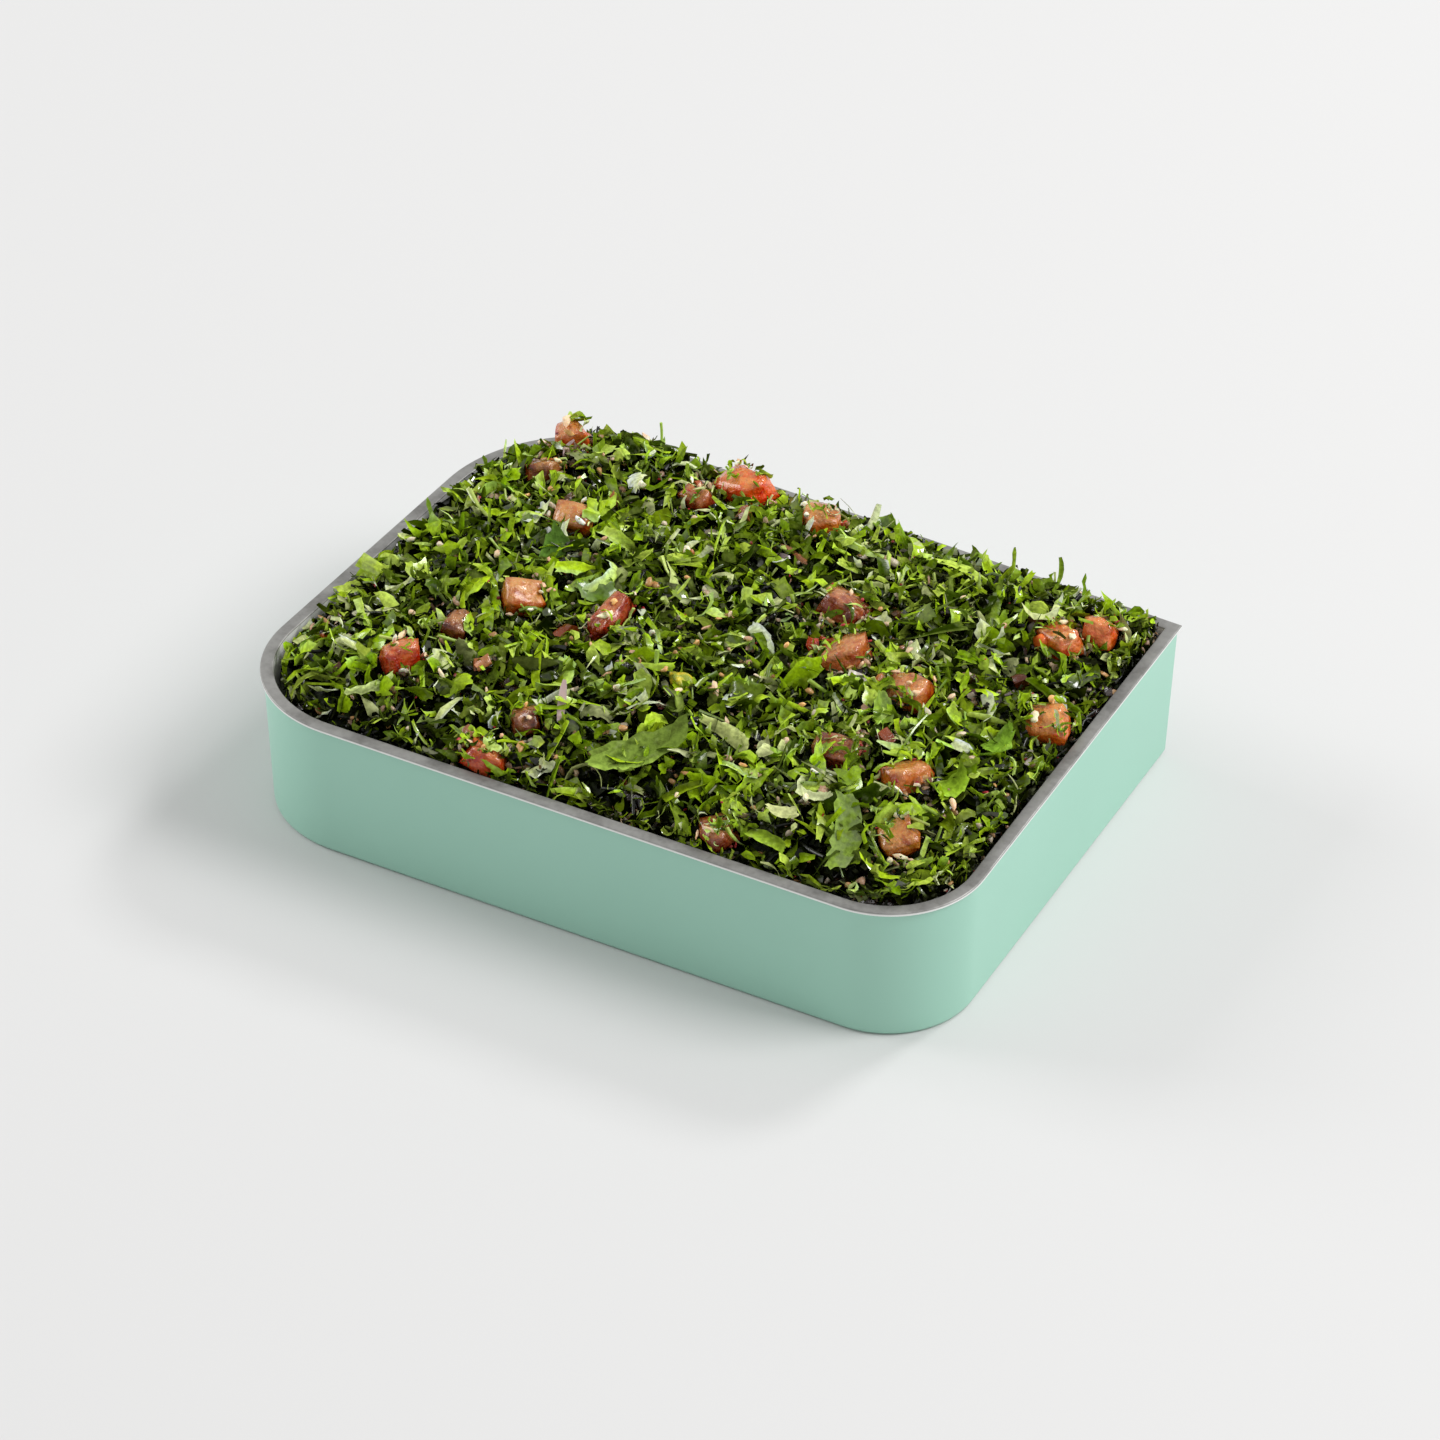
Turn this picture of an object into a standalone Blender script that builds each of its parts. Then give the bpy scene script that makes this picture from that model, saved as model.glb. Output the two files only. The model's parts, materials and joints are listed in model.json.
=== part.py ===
"""A dish heaped with tabbouleh: a mint casing, a steel liner with a flat rim, the salad and its tomatoes.

Metres, +Z up. The origin is under the middle of the dish, on the surface that it stands on. The long front
side faces -Y. The dish has three round corners and a square one, at the back right, and its back is narrower.
"""

import math
import random

import bmesh
import bpy
from mathutils import Euler, Matrix, Vector, noise

MM = 0.001
GAP = 0.3 * MM  # clearance between pieces that touch
SHARP_ANGLE = math.radians(35)  # edges that turn by more than this are shaded sharp

# The dish, seen from above: the rim's outer edge
FRONT_LENGTH = 230 * MM
BACK_LENGTH = 216 * MM
WIDTH = 168 * MM
SQUARE_CORNER_SETBACK = 7 * MM  # the back side runs this far forward by the square corner
HEIGHT = 44 * MM
FRONT_LEFT_RADIUS = 37 * MM
FRONT_RIGHT_RADIUS = 30 * MM
SQUARE_RADIUS = 1 * MM
BACK_LEFT_RADIUS = 45 * MM
SHARPEST_RADIUS = 0.4 * MM
ROUND_CORNER_STEPS = 10
SQUARE_CORNER_STEPS = 2
SIDE_STEPS = 12
CORNER_RADII = (FRONT_LEFT_RADIUS, FRONT_RIGHT_RADIUS, SQUARE_RADIUS, BACK_LEFT_RADIUS)
CORNER_STEPS = (ROUND_CORNER_STEPS, ROUND_CORNER_STEPS, SQUARE_CORNER_STEPS, ROUND_CORNER_STEPS)

# Its section
DRAFT = 1.8 * MM  # how much further in the walls stand at the base than at the rim
RIM_OVERHANG = 1.0 * MM
RIM_WIDTH = 3.8 * MM
RIM_THICKNESS = 1.2 * MM
RIM_ROUNDING = 0.4 * MM
STEEL = 0.7 * MM
CASING_WALL = RIM_WIDTH - RIM_OVERHANG - STEEL - GAP
CASING_FLOOR = 2.0 * MM
CASING_FOOT_ROUNDING = 1.5 * MM
LINER_FLOOR_ROUNDING = 4.0 * MM
ROUNDING_STEPS = 3

# The heap
EDGE_DROP = 3.5 * MM  # the salad meets the wall this far under the rim
HEAP_RISE = 12.5 * MM
HEAP_SHOULDER = 40 * MM  # the heap has risen this far in from the wall
FRONT_FULLNESS = 2.0  # how steeply it rises beside the wall: 1 is a straight slope
BACK_FULLNESS = 3.6
LUMP_HEIGHT = 2.2 * MM
LUMP_LENGTH = 15 * MM
RIPPLE_HEIGHT = 1.1 * MM
RIPPLE_LENGTH = 6 * MM
WALL_UNEVENNESS = 0.35  # share of the lumps and ripples that is left beside the wall
HEAP_RINGS = 17
RING_CROWDING = 1.15  # over 1, the rings lie closer together beside the wall

# The tomato pieces: place over the dish and lift above half sunk, then size, all in mm, and turn in degrees
TOMATOES = (
    ((-82, 64, 2), (11, 9, 9), 20),
    ((-81, 43, 0), (9, 7, 7), 65),
    ((-61, 26, 0), (11, 9, 8), 10),
    ((-54, -14, 0), (12, 10, 10), 40),
    ((-27, -10, 0), (7, 17, 9), -12),
    ((-63, -35, 0), (8, 8, 7), 15),
    ((-70, -53, 0), (11, 9, 9), 50),
    ((-32, -73, -1), (13, 10, 7), 8),
    ((-26, -60, 0), (8, 7, 7), 35),
    ((-35, 54, 0), (9, 7, 7), -15),
    ((-27, 67, 1), (17, 12, 10), -20),
    ((1, 61, 0), (12, 11, 10), 30),
    ((28, 25, 0), (13, 10, 9), -10),
    ((38, 6, 0), (17, 14, 9), 25),
    ((61, 0, 0), (14, 11, 8), -5),
    ((57, -34, 0), (13, 10, 8), 15),
    ((80, -35, 0), (9, 15, 10), -15),
    ((89, -57, 0), (10, 10, 8), 40),
    ((98, 13, 0), (15, 12, 9), 10),
    ((86, 44, 0), (11, 10, 10), -25),
    ((93, 56, 0), (9, 9, 9), 15),
    ((42, -72, 0), (10, 10, 8), 55),
)
TOMATO_LIFT = 0.12  # of its height that the middle of every piece stands over the heap
TOMATO_ROUNDNESS = 0.42  # 0 is a cube, 1 a ball
TOMATO_UNEVENNESS = 0.07  # of its size that a corner may be out of place
MOST_TILT = math.radians(24)
POCKET_CLEARANCE = 0.5 * MM  # of the salad round a piece, more than the gap because faces lean


def dish_corners():
    """The rim's outline before its corners are rounded, anticlockwise from the front left."""
    return [
        Vector((-FRONT_LENGTH / 2, -WIDTH / 2)),
        Vector((FRONT_LENGTH / 2, -WIDTH / 2)),
        Vector((BACK_LENGTH / 2, WIDTH / 2 - SQUARE_CORNER_SETBACK)),
        Vector((-BACK_LENGTH / 2, WIDTH / 2)),
    ]


def sides(inset):
    """Each side of the outline moved in by inset, as a point on it and its direction."""
    corners = dish_corners()
    found = []
    for here, there in zip(corners, corners[1:] + corners[:1]):
        along = (there - here).normalized()
        inward = Vector((-along.y, along.x))
        found.append((here + inward * inset, along))
    return found


def crossing(first, second):
    """Where two sides meet."""
    (p, u), (q, v) = first, second
    reach = (q - p).cross(v) / u.cross(v)
    return p + u * reach


def corner_arc(before, after, radius, steps):
    """Points round the corner between two sides."""
    turn = abs(before[1].angle_signed(after[1]))
    to_centre = (after[1] - before[1]).normalized()
    centre = crossing(before, after) + to_centre * radius / math.cos(turn / 2)
    start = math.atan2(-before[1].x, before[1].y)
    angles = [start + turn * k / steps for k in range(steps + 1)]
    return [centre + Vector((math.cos(a), math.sin(a))) * radius for a in angles]


def raw_outline(inset):
    """Points round the dish, moved in by inset, with the corners rounded."""
    moved = sides(inset)
    arcs = []
    for i, (radius, steps) in enumerate(zip(CORNER_RADII, CORNER_STEPS)):
        arcs.append(corner_arc(moved[i - 1], moved[i], max(radius - inset, SHARPEST_RADIUS), steps))
    points = []
    for arc, following in zip(arcs, arcs[1:] + arcs[:1]):
        points += arc
        points += [arc[-1].lerp(following[0], k / SIDE_STEPS) for k in range(1, SIDE_STEPS)]
    return points


def middle_of(points):
    """The middle of the box round some points."""
    xs, ys = [p.x for p in points], [p.y for p in points]
    return Vector(((min(xs) + max(xs)) / 2, (min(ys) + max(ys)) / 2))


CENTRE = middle_of(raw_outline(0))


def ring(inset, height):
    """The outline moved in by inset, at a height, about the origin."""
    return [Vector((p.x - CENTRE.x, p.y - CENTRE.y, height)) for p in raw_outline(inset)]


def lean(height):
    """How far the draft brings a wall in at a height."""
    return DRAFT * (1 - height / HEIGHT)


def rounding(inset, height, radius):
    """(inset, height) steps up a quarter circle, from a level floor to a standing wall."""
    angles = [math.pi / 2 * k / ROUNDING_STEPS for k in range(ROUNDING_STEPS + 1)]
    return [(inset + radius * (1 - math.sin(a)), height + radius * (1 - math.cos(a))) for a in angles]


def material(name, colour, roughness, metallic=0.0):
    made = bpy.data.materials.new(name)
    made.use_nodes = True
    shader = made.node_tree.nodes["Principled BSDF"]
    shader.inputs["Base Color"].default_value = (*colour, 1.0)
    shader.inputs["Roughness"].default_value = roughness
    shader.inputs["Metallic"].default_value = metallic
    return made


def add_object(name, mesh, finish):
    mesh.materials.append(finish)
    made = bpy.data.objects.new(name, mesh)
    bpy.context.scene.collection.objects.link(made)
    return made


def flat_faced(name, bm):
    """The mesh of a bmesh, in triangles, so that a Boolean cuts it exactly."""
    bmesh.ops.triangulate(bm, faces=bm.faces[:])
    mesh = bpy.data.meshes.new(name)
    bm.to_mesh(mesh)
    bm.free()
    return mesh


def loft(name, rings, finish, peak=None):
    """A closed skin over rings of equal length, capped at the first one, and at the last one or at a peak."""
    bm = bmesh.new()
    loops = [[bm.verts.new(p) for p in points] for points in rings]
    count = len(loops[0])
    bm.faces.new(list(reversed(loops[0])))
    for lower, upper in zip(loops, loops[1:]):
        for i in range(count):
            j = (i + 1) % count
            bm.faces.new((lower[i], lower[j], upper[j], upper[i]))
    if peak is None:
        bm.faces.new(loops[-1])
    else:
        tip = bm.verts.new(peak)
        for i in range(count):
            bm.faces.new((loops[-1][i], loops[-1][(i + 1) % count], tip))
    mesh = flat_faced(name, bm)
    mesh.shade_smooth()
    mesh.set_sharp_from_angle(angle=SHARP_ANGLE)
    return add_object(name, mesh, finish)


def build_casing():
    """The mint box: a thick floor, drafted walls and a rounded foot, open at the top."""
    top = HEIGHT - RIM_THICKNESS - GAP
    inner_face = RIM_OVERHANG + CASING_WALL
    section = rounding(RIM_OVERHANG + lean(0), 0.0, CASING_FOOT_ROUNDING)
    section += [
        (RIM_OVERHANG + lean(top), top),
        (inner_face + lean(top), top),
        (inner_face + lean(CASING_FLOOR), CASING_FLOOR),
    ]
    finish = material("mint_plastic", (0.38, 0.69, 0.58), 0.45)
    return loft("casing", [ring(i, z) for i, z in section], finish)


def build_liner():
    """The steel tray that hangs in the casing by its flat rim."""
    under = CASING_FLOOR + GAP
    floor = under + STEEL
    outer_face = RIM_WIDTH - STEEL
    under_rim = HEIGHT - RIM_THICKNESS
    section = rounding(outer_face + lean(under), under, LINER_FLOOR_ROUNDING)
    section += [
        (outer_face + lean(under_rim), under_rim),
        (RIM_ROUNDING, under_rim),
        (0.0, under_rim + RIM_ROUNDING),
        (0.0, HEIGHT - RIM_ROUNDING),
        (RIM_ROUNDING, HEIGHT),
        (RIM_WIDTH - RIM_ROUNDING, HEIGHT),
        (RIM_WIDTH, HEIGHT - RIM_ROUNDING),
    ]
    section += reversed(rounding(RIM_WIDTH + lean(floor), floor, LINER_FLOOR_ROUNDING))
    finish = material("steel", (0.55, 0.55, 0.53), 0.35, metallic=1.0)
    return loft("liner", [ring(i, z) for i, z in section], finish)


def wall_distance(x, y):
    """How far a point over the dish is from the liner's wall, rounded corners included."""
    here = Vector((x + CENTRE.x, y + CENTRE.y))
    away = [along.cross(here - point) for point, along in sides(RIM_WIDTH)]
    distance = min(away)
    for i, radius in enumerate(CORNER_RADII):
        radius = max(radius - RIM_WIDTH, SHARPEST_RADIUS)
        first, second = radius - away[i - 1], radius - away[i]
        if first > 0 and second > 0:
            distance = min(distance, radius - math.hypot(first, second))
    return max(distance, 0.0)


def heap_height(x, y):
    """The top of the salad: low at the wall, domed, fuller at the back, with lumps and ripples all over."""
    risen = min(wall_distance(x, y) / HEAP_SHOULDER, 1.0)
    fullness = FRONT_FULLNESS + (BACK_FULLNESS - FRONT_FULLNESS) * (0.5 + y / WIDTH)
    dome = HEIGHT - EDGE_DROP + HEAP_RISE * (1 - (1 - risen) ** fullness)
    lumps = LUMP_HEIGHT * noise.noise(Vector((x, y, 0.0)) / LUMP_LENGTH)
    ripples = RIPPLE_HEIGHT * noise.noise(Vector((x, y, 0.0)) / RIPPLE_LENGTH)
    return dome + (lumps + ripples) * (WALL_UNEVENNESS + (1 - WALL_UNEVENNESS) * risen)


def build_salad():
    """The heap of chopped parsley, bulgur and onion, out to its uneven top, filling the liner."""
    floor = CASING_FLOOR + GAP + STEEL + GAP
    face = RIM_WIDTH + GAP
    section = rounding(face + lean(floor), floor, LINER_FLOOR_ROUNDING + GAP)
    rings = [ring(i, z) for i, z in section]
    edge = ring(face + lean(HEIGHT - EDGE_DROP), HEIGHT)
    for k in range(HEAP_RINGS):
        left = 1 - (k / HEAP_RINGS) ** RING_CROWDING
        rings.append([Vector((p.x * left, p.y * left, heap_height(p.x * left, p.y * left))) for p in edge])
    peak = Vector((0.0, 0.0, heap_height(0.0, 0.0)))
    return loft("salad", rings, material("parsley", (0.10, 0.22, 0.03), 0.5), peak)


def diced(name, size, seed, grow=0.0):
    """A hand-cut dice: a cube with softened corners and uneven faces."""
    rng = random.Random(seed)
    bm = bmesh.new()
    bmesh.ops.create_cube(bm, size=1.0)
    bmesh.ops.subdivide_edges(bm, edges=bm.edges[:], cuts=1, use_grid_fill=True)
    for v in bm.verts:
        v.co = v.co.lerp(v.co.normalized() * 0.5, TOMATO_ROUNDNESS)
        v.co += Vector([rng.uniform(-TOMATO_UNEVENNESS, TOMATO_UNEVENNESS) for _ in range(3)])
        v.co = Vector([c * (s * MM + 2 * grow) for c, s in zip(v.co, size)])
    return flat_faced(name, bm)


def build_tomatoes(salad):
    """Each tomato piece lies half sunk in a pocket of the salad that is a little wider than the piece."""
    flesh = material("tomato", (0.70, 0.16, 0.06), 0.3)
    pockets = bpy.data.collections.new("tomato_pockets")
    bpy.context.scene.collection.children.link(pockets)
    for number, ((x, y, lift), size, turn) in enumerate(TOMATOES, start=1):
        rng = random.Random(100 + number)
        tilts = [rng.uniform(-MOST_TILT, MOST_TILT) for _ in range(2)]
        turned = Euler((*tilts, math.radians(turn))).to_matrix().to_4x4()
        over = heap_height(x * MM, y * MM) + (lift + TOMATO_LIFT * size[2]) * MM
        placed = Matrix.Translation((x * MM, y * MM, over)) @ turned
        name, pocket = f"tomato_{number:02d}", f"pocket_{number:02d}"
        piece = add_object(name, diced(name, size, number), flesh)
        piece.data.shade_smooth()
        piece.matrix_world = placed
        cutter = bpy.data.objects.new(pocket, diced(pocket, size, number, grow=POCKET_CLEARANCE))
        cutter.matrix_world = placed
        cutter.hide_render = True
        cutter.display_type = "WIRE"
        pockets.objects.link(cutter)
    cut = salad.modifiers.new("tomato_pockets", "BOOLEAN")
    cut.operation = "DIFFERENCE"
    cut.operand_type = "COLLECTION"
    cut.collection = pockets


def main():
    for thing in list(bpy.data.objects):
        bpy.data.objects.remove(thing)
    build_casing()
    build_liner()
    build_tomatoes(build_salad())


main()
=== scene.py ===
import json
import math

import bpy
import numpy as np
from mathutils import Matrix, Vector
from mathutils.bvhtree import BVHTree

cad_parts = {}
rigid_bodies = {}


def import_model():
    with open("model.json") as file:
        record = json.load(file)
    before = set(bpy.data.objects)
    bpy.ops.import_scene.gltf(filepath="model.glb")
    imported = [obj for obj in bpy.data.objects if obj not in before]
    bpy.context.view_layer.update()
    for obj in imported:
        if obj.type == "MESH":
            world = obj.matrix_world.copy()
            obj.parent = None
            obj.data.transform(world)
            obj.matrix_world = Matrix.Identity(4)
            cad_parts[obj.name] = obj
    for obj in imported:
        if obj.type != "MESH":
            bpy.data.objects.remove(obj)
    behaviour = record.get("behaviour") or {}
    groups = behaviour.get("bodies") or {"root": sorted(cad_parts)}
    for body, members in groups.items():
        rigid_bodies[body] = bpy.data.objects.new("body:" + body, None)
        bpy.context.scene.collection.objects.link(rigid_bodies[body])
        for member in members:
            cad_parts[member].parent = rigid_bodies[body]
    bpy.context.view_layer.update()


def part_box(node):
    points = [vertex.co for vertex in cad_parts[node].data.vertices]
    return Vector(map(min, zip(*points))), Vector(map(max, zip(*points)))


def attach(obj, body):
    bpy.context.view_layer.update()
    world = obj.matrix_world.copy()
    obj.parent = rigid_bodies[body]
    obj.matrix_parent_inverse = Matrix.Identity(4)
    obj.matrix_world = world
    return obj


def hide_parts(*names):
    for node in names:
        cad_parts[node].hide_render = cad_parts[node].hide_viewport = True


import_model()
MM = 0.001

# The camera: a long lens, level, that looks down on the dish from its front right.
CAMERA_PLACE = Vector((899.2, -1606.3, 1378.0)) * MM
CAMERA_AIM = Vector((-3.8, 10.4, 13.9)) * MM
LENS = 202.8

gaze = (CAMERA_AIM - CAMERA_PLACE).to_track_quat("-Z", "Y")
bpy.ops.object.camera_add(location=CAMERA_PLACE, rotation=gaze.to_euler())
camera = bpy.context.object
camera.data.lens = LENS
camera.data.sensor_width = 36
camera.data.clip_end = 100
bpy.context.scene.camera = camera


# The stage: a pale seamless floor in a bright, even room. One large soft box hangs at the right, a smaller
# one behind the dish, and a broad one stands at the left and keeps the shaded side open.
FLOOR_SIZE = 30.0
FLOOR_COLOUR = (0.675, 0.673, 0.67)
FLOOR_FADE = 0.99
FLOOR_CLOUDS = 0.8
ROOM_COLOUR = (1.0, 1.0, 1.0)
ROOM_STRENGTH = 0.52
LIGHTS_AIM = Vector((0, 0, 0.03))
SOFT_BOXES = (
    # name, place, size, power
    ("key_light", (2.25, 0.85, 2.35), 1.5, 67.0),
    ("back_light", (1.10, 2.95, 2.45), 0.7, 46.0),
    ("fill_light", (-3.30, -0.40, 1.60), 1.8, 58.0),
)


class Socket:
    """An output socket of a material's nodes. Sums on it add Math nodes, and node() adds any other node."""

    def __init__(self, socket):
        self.socket = socket

    def node(self, kind, settings=None, values=None, output=0):
        """A node's output: its settings are set first, then the values or links of its sockets."""
        made = self.socket.id_data.nodes.new(kind)
        for name, value in (settings or {}).items():
            setattr(made, name, value)
        for name, value in (values or {}).items():
            plug(value, made.inputs[name])
        return Socket(made.outputs[output])

    def maths(self, operation, *values):
        return self.node("ShaderNodeMath", {"operation": operation}, dict(enumerate(values)))

    def __add__(self, other):
        return self.maths("ADD", self, other)

    def __mul__(self, other):
        return self.maths("MULTIPLY", self, other)

    __radd__ = __add__
    __rmul__ = __mul__

    def between(self, low, high):
        """0 where this is under low, 1 where it is over high, and smooth between them."""
        values = {"Value": self, "From Min": low, "From Max": high}
        return self.node("ShaderNodeMapRange", {"interpolation_type": "SMOOTHSTEP"}, values)

    def mix(self, first, second):
        """The first colour where this is 0, and the second where it is 1."""
        return self.node("ShaderNodeMix", {"data_type": "RGBA"}, {0: self, 6: first, 7: second}, output=2)

    def noise(self, size, detail=2.0):
        """Noise over this position, with blotches of about that size in metres."""
        return self.node("ShaderNodeTexNoise", {}, {"Vector": self, "Scale": 1 / size, "Detail": detail})


def plug(value, target):
    """Links a socket, or sets a number or a colour, on an input."""
    if isinstance(value, Socket):
        target.id_data.links.new(value.socket, target)
    elif isinstance(value, tuple) and len(value) == 3 and target.type == "RGBA":
        target.default_value = (*value, 1.0)
    else:
        target.default_value = value


def finish(name, **values):
    """A new material, its Principled shader with these sockets set, and the position on the piece."""
    made = bpy.data.materials.new(name)
    made.use_nodes = True
    shader = made.node_tree.nodes["Principled BSDF"]
    place = Socket(made.node_tree.nodes.new("ShaderNodeTexCoord").outputs["Object"])
    for socket, value in values.items():
        plug(value, shader.inputs[socket.replace("_", " ")])
    return made, shader, place


def bumped(height, shader, depth):
    """Raises the surface by height times depth, in metres."""
    plug(height.node("ShaderNodeBump", {}, {"Height": height, "Distance": depth}), shader.inputs["Normal"])


def clear_selection():
    if bpy.context.object and bpy.context.object.mode == "EDIT":
        bpy.ops.object.mode_set(mode="OBJECT")
    bpy.ops.object.select_all(action="DESELECT")


clear_selection()
bpy.ops.mesh.primitive_plane_add(size=FLOOR_SIZE)
floor = bpy.context.object
floor.name = "floor"
floor_paint, floor_shader, floor_place = finish("floor_paint", Roughness=0.9, Specular_IOR_Level=0.2)
faded_floor = tuple(FLOOR_FADE * channel for channel in FLOOR_COLOUR)
plug(floor_place.noise(FLOOR_CLOUDS).mix(FLOOR_COLOUR, faded_floor), floor_shader.inputs["Base Color"])
floor.data.materials.append(floor_paint)

for name, place, size, power in SOFT_BOXES:
    towards = (LIGHTS_AIM - Vector(place)).to_track_quat("-Z", "Y")
    bpy.ops.object.light_add(type="AREA", location=place, rotation=towards.to_euler())
    lamp = bpy.context.object
    lamp.name = name
    lamp.data.shape = "SQUARE"
    lamp.data.size = size
    lamp.data.energy = power

room = bpy.data.worlds.new("room")
room.use_nodes = True
room.node_tree.nodes["Background"].inputs["Color"].default_value = (*ROOM_COLOUR, 1.0)
room.node_tree.nodes["Background"].inputs["Strength"].default_value = ROOM_STRENGTH
bpy.context.scene.world = room
bpy.context.scene.view_settings.view_transform = "Standard"


# The casing: the mint outer box, moulded in one piece of satin plastic. It has a thick floor, a rounded foot
# and walls that lean in a little towards it. Three corners are round and the back right one is square.
FRONT_LENGTH = 230 * MM
BACK_LENGTH = 216 * MM
WIDTH = 168 * MM
SQUARE_CORNER_SETBACK = 7 * MM
FRONT_LEFT_RADIUS = 37 * MM
FRONT_RIGHT_RADIUS = 30 * MM
BACK_LEFT_RADIUS = 45 * MM
CORNER_STEPS = 28
DRAFT = 1.8 * MM
RIM_OVERHANG = 1.0 * MM
CASING_WALL = 1.8 * MM
CASING_FLOOR = 2.0 * MM
FOOT_ROUNDING = 1.5 * MM
SMOOTH_UNDER = math.radians(32)
MINT = (0.375, 0.650, 0.530)
MINT_DEEP = (0.345, 0.615, 0.495)
MINT_CLOUDS = 60 * MM

rim_low, rim_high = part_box("liner")
casing_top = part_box("casing")[1].z
HEIGHT = rim_high.z


def quarter(radius, steps=4):
    """(inward, downward) steps round a quarter circle, from level to steep."""
    angles = [math.pi / 2 * k / steps for k in range(steps + 1)]
    corners = [(radius * math.sin(a), radius * (1 - math.cos(a))) for a in angles]
    return [(b[0] - a[0], b[1] - a[1]) for a, b in zip(corners, corners[1:])]


def select_where(piece, kind, wanted):
    """Selects the piece's vertices, edges or faces that are wanted, and leaves it in edit mode."""
    bpy.ops.object.mode_set(mode="EDIT")
    bpy.ops.mesh.select_mode(type=kind)
    bpy.ops.mesh.select_all(action="DESELECT")
    bpy.ops.object.mode_set(mode="OBJECT")
    elements = {"VERT": piece.data.vertices, "EDGE": piece.data.edges, "FACE": piece.data.polygons}[kind]
    for element in elements:
        element.select = wanted(element)
    bpy.ops.object.mode_set(mode="EDIT")


def stands_at(piece, x, y):
    """A test of whether an edge stands over one point of the floor."""
    def test(edge):
        ends = [piece.data.vertices[i].co for i in edge.vertices]
        return all((end.xy - Vector((x, y))).length < MM for end in ends)
    return test


def dish_sheet(name, height):
    """A flat sheet with the outline of the rim's outer edge, facing up, ready to be drawn into a dish."""
    clear_selection()
    bpy.ops.mesh.primitive_plane_add(size=1)
    sheet = bpy.context.object
    sheet.name = name
    front, back, half = FRONT_LENGTH / 2, BACK_LENGTH / 2, WIDTH / 2
    corners = [(-front, -half), (front, -half), (-back, half), (back, half - SQUARE_CORNER_SETBACK)]
    radii = [FRONT_LEFT_RADIUS, FRONT_RIGHT_RADIUS, BACK_LEFT_RADIUS]
    for vertex, (x, y) in zip(sheet.data.vertices, corners):
        vertex.co = (x, y, height / 2)
    bpy.ops.object.mode_set(mode="EDIT")
    bpy.ops.mesh.select_all(action="SELECT")
    bpy.ops.mesh.extrude_region_move(TRANSFORM_OT_translate={"value": (0, 0, height / 2)})
    bpy.ops.object.mode_set(mode="OBJECT")
    for (x, y), radius in zip(corners, radii):
        select_where(sheet, "EDGE", stands_at(sheet, x, y))
        bpy.ops.mesh.bevel(offset=radius, segments=CORNER_STEPS, affect="EDGES")
        bpy.ops.object.mode_set(mode="OBJECT")
    select_where(sheet, "FACE", lambda face: face.center.z < height - MM / 2)
    bpy.ops.mesh.delete(type="FACE")
    bpy.ops.object.mode_set(mode="OBJECT")
    spots = [vertex.co for vertex in sheet.data.vertices]
    low = Vector([min(spot[axis] for spot in spots) for axis in range(2)])
    high = Vector([max(spot[axis] for spot in spots) for axis in range(2)])
    sheet.data.transform(Matrix.Translation((*(-(low + high) / 2), 0)))
    return sheet


def draw_in(steps):
    """Draws the chosen face in and along its normal, with a ring of faces for each (inward, along) step."""
    for inward, along in steps:
        bpy.ops.mesh.inset(thickness=inward, depth=along, use_even_offset=True)


def half_shell(name, height, edge, steps, underside):
    """One skin of a dish wall: the sheet cut back to its edge, then drawn in, upward or as an underside."""
    sheet = dish_sheet(name, height)
    bpy.ops.object.mode_set(mode="EDIT")
    bpy.ops.mesh.select_mode(type="FACE")
    bpy.ops.mesh.select_all(action="SELECT")
    if edge:
        bpy.ops.mesh.inset(thickness=edge, use_even_offset=True)
        bpy.ops.mesh.select_all(action="INVERT")
        bpy.ops.mesh.delete(type="FACE")
        bpy.ops.mesh.select_all(action="SELECT")
    if underside:
        bpy.ops.mesh.flip_normals()
    draw_in(steps)
    bpy.ops.object.mode_set(mode="OBJECT")
    return sheet


def shell(name, height, edge, inside, outside):
    """A closed shell: an inside and an outside skin that meet along one edge."""
    lower = half_shell(name + "_under", height, edge, outside, underside=True)
    upper = half_shell(name, height, edge, inside, underside=False)
    lower.select_set(True)
    bpy.ops.object.join()
    bpy.ops.object.mode_set(mode="EDIT")
    bpy.ops.mesh.select_all(action="SELECT")
    bpy.ops.mesh.remove_doubles(threshold=0.01 * MM)
    bpy.ops.mesh.select_all(action="DESELECT")
    bpy.ops.object.mode_set(mode="OBJECT")
    return upper


def lean(height):
    """How far the draft brings a wall in at a height."""
    return DRAFT * (1 - height / HEIGHT)


def drop(top, bottom):
    """A leaning wall between two heights, as one (inward, along) step."""
    return lean(bottom) - lean(top), top - bottom


def downward(steps):
    """The same steps for a face that looks up, so that they go down into the dish."""
    return [(inward, -along) for inward, along in steps]


def give(piece, slot, *nodes):
    """The piece rides with the dish and stands for these nodes, which it hides. The slot is not used."""
    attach(piece, "root")
    if nodes:
        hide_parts(*nodes)


outside = [drop(casing_top, FOOT_ROUNDING), *reversed(quarter(FOOT_ROUNDING))]
inside = downward([(CASING_WALL, 0.0), drop(casing_top, CASING_FLOOR)])
casing = shell("mint_casing", casing_top, RIM_OVERHANG + lean(casing_top), inside, outside)
bpy.ops.object.shade_smooth_by_angle(angle=SMOOTH_UNDER)
mint, mint_shader, mint_place = finish("mint_plastic", Roughness=0.42, Specular_IOR_Level=0.4)
plug(mint_place.noise(MINT_CLOUDS).mix(MINT, MINT_DEEP), mint_shader.inputs["Base Color"])
casing.data.materials.append(mint)
give(casing, "mint_plastic", "casing")
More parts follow.
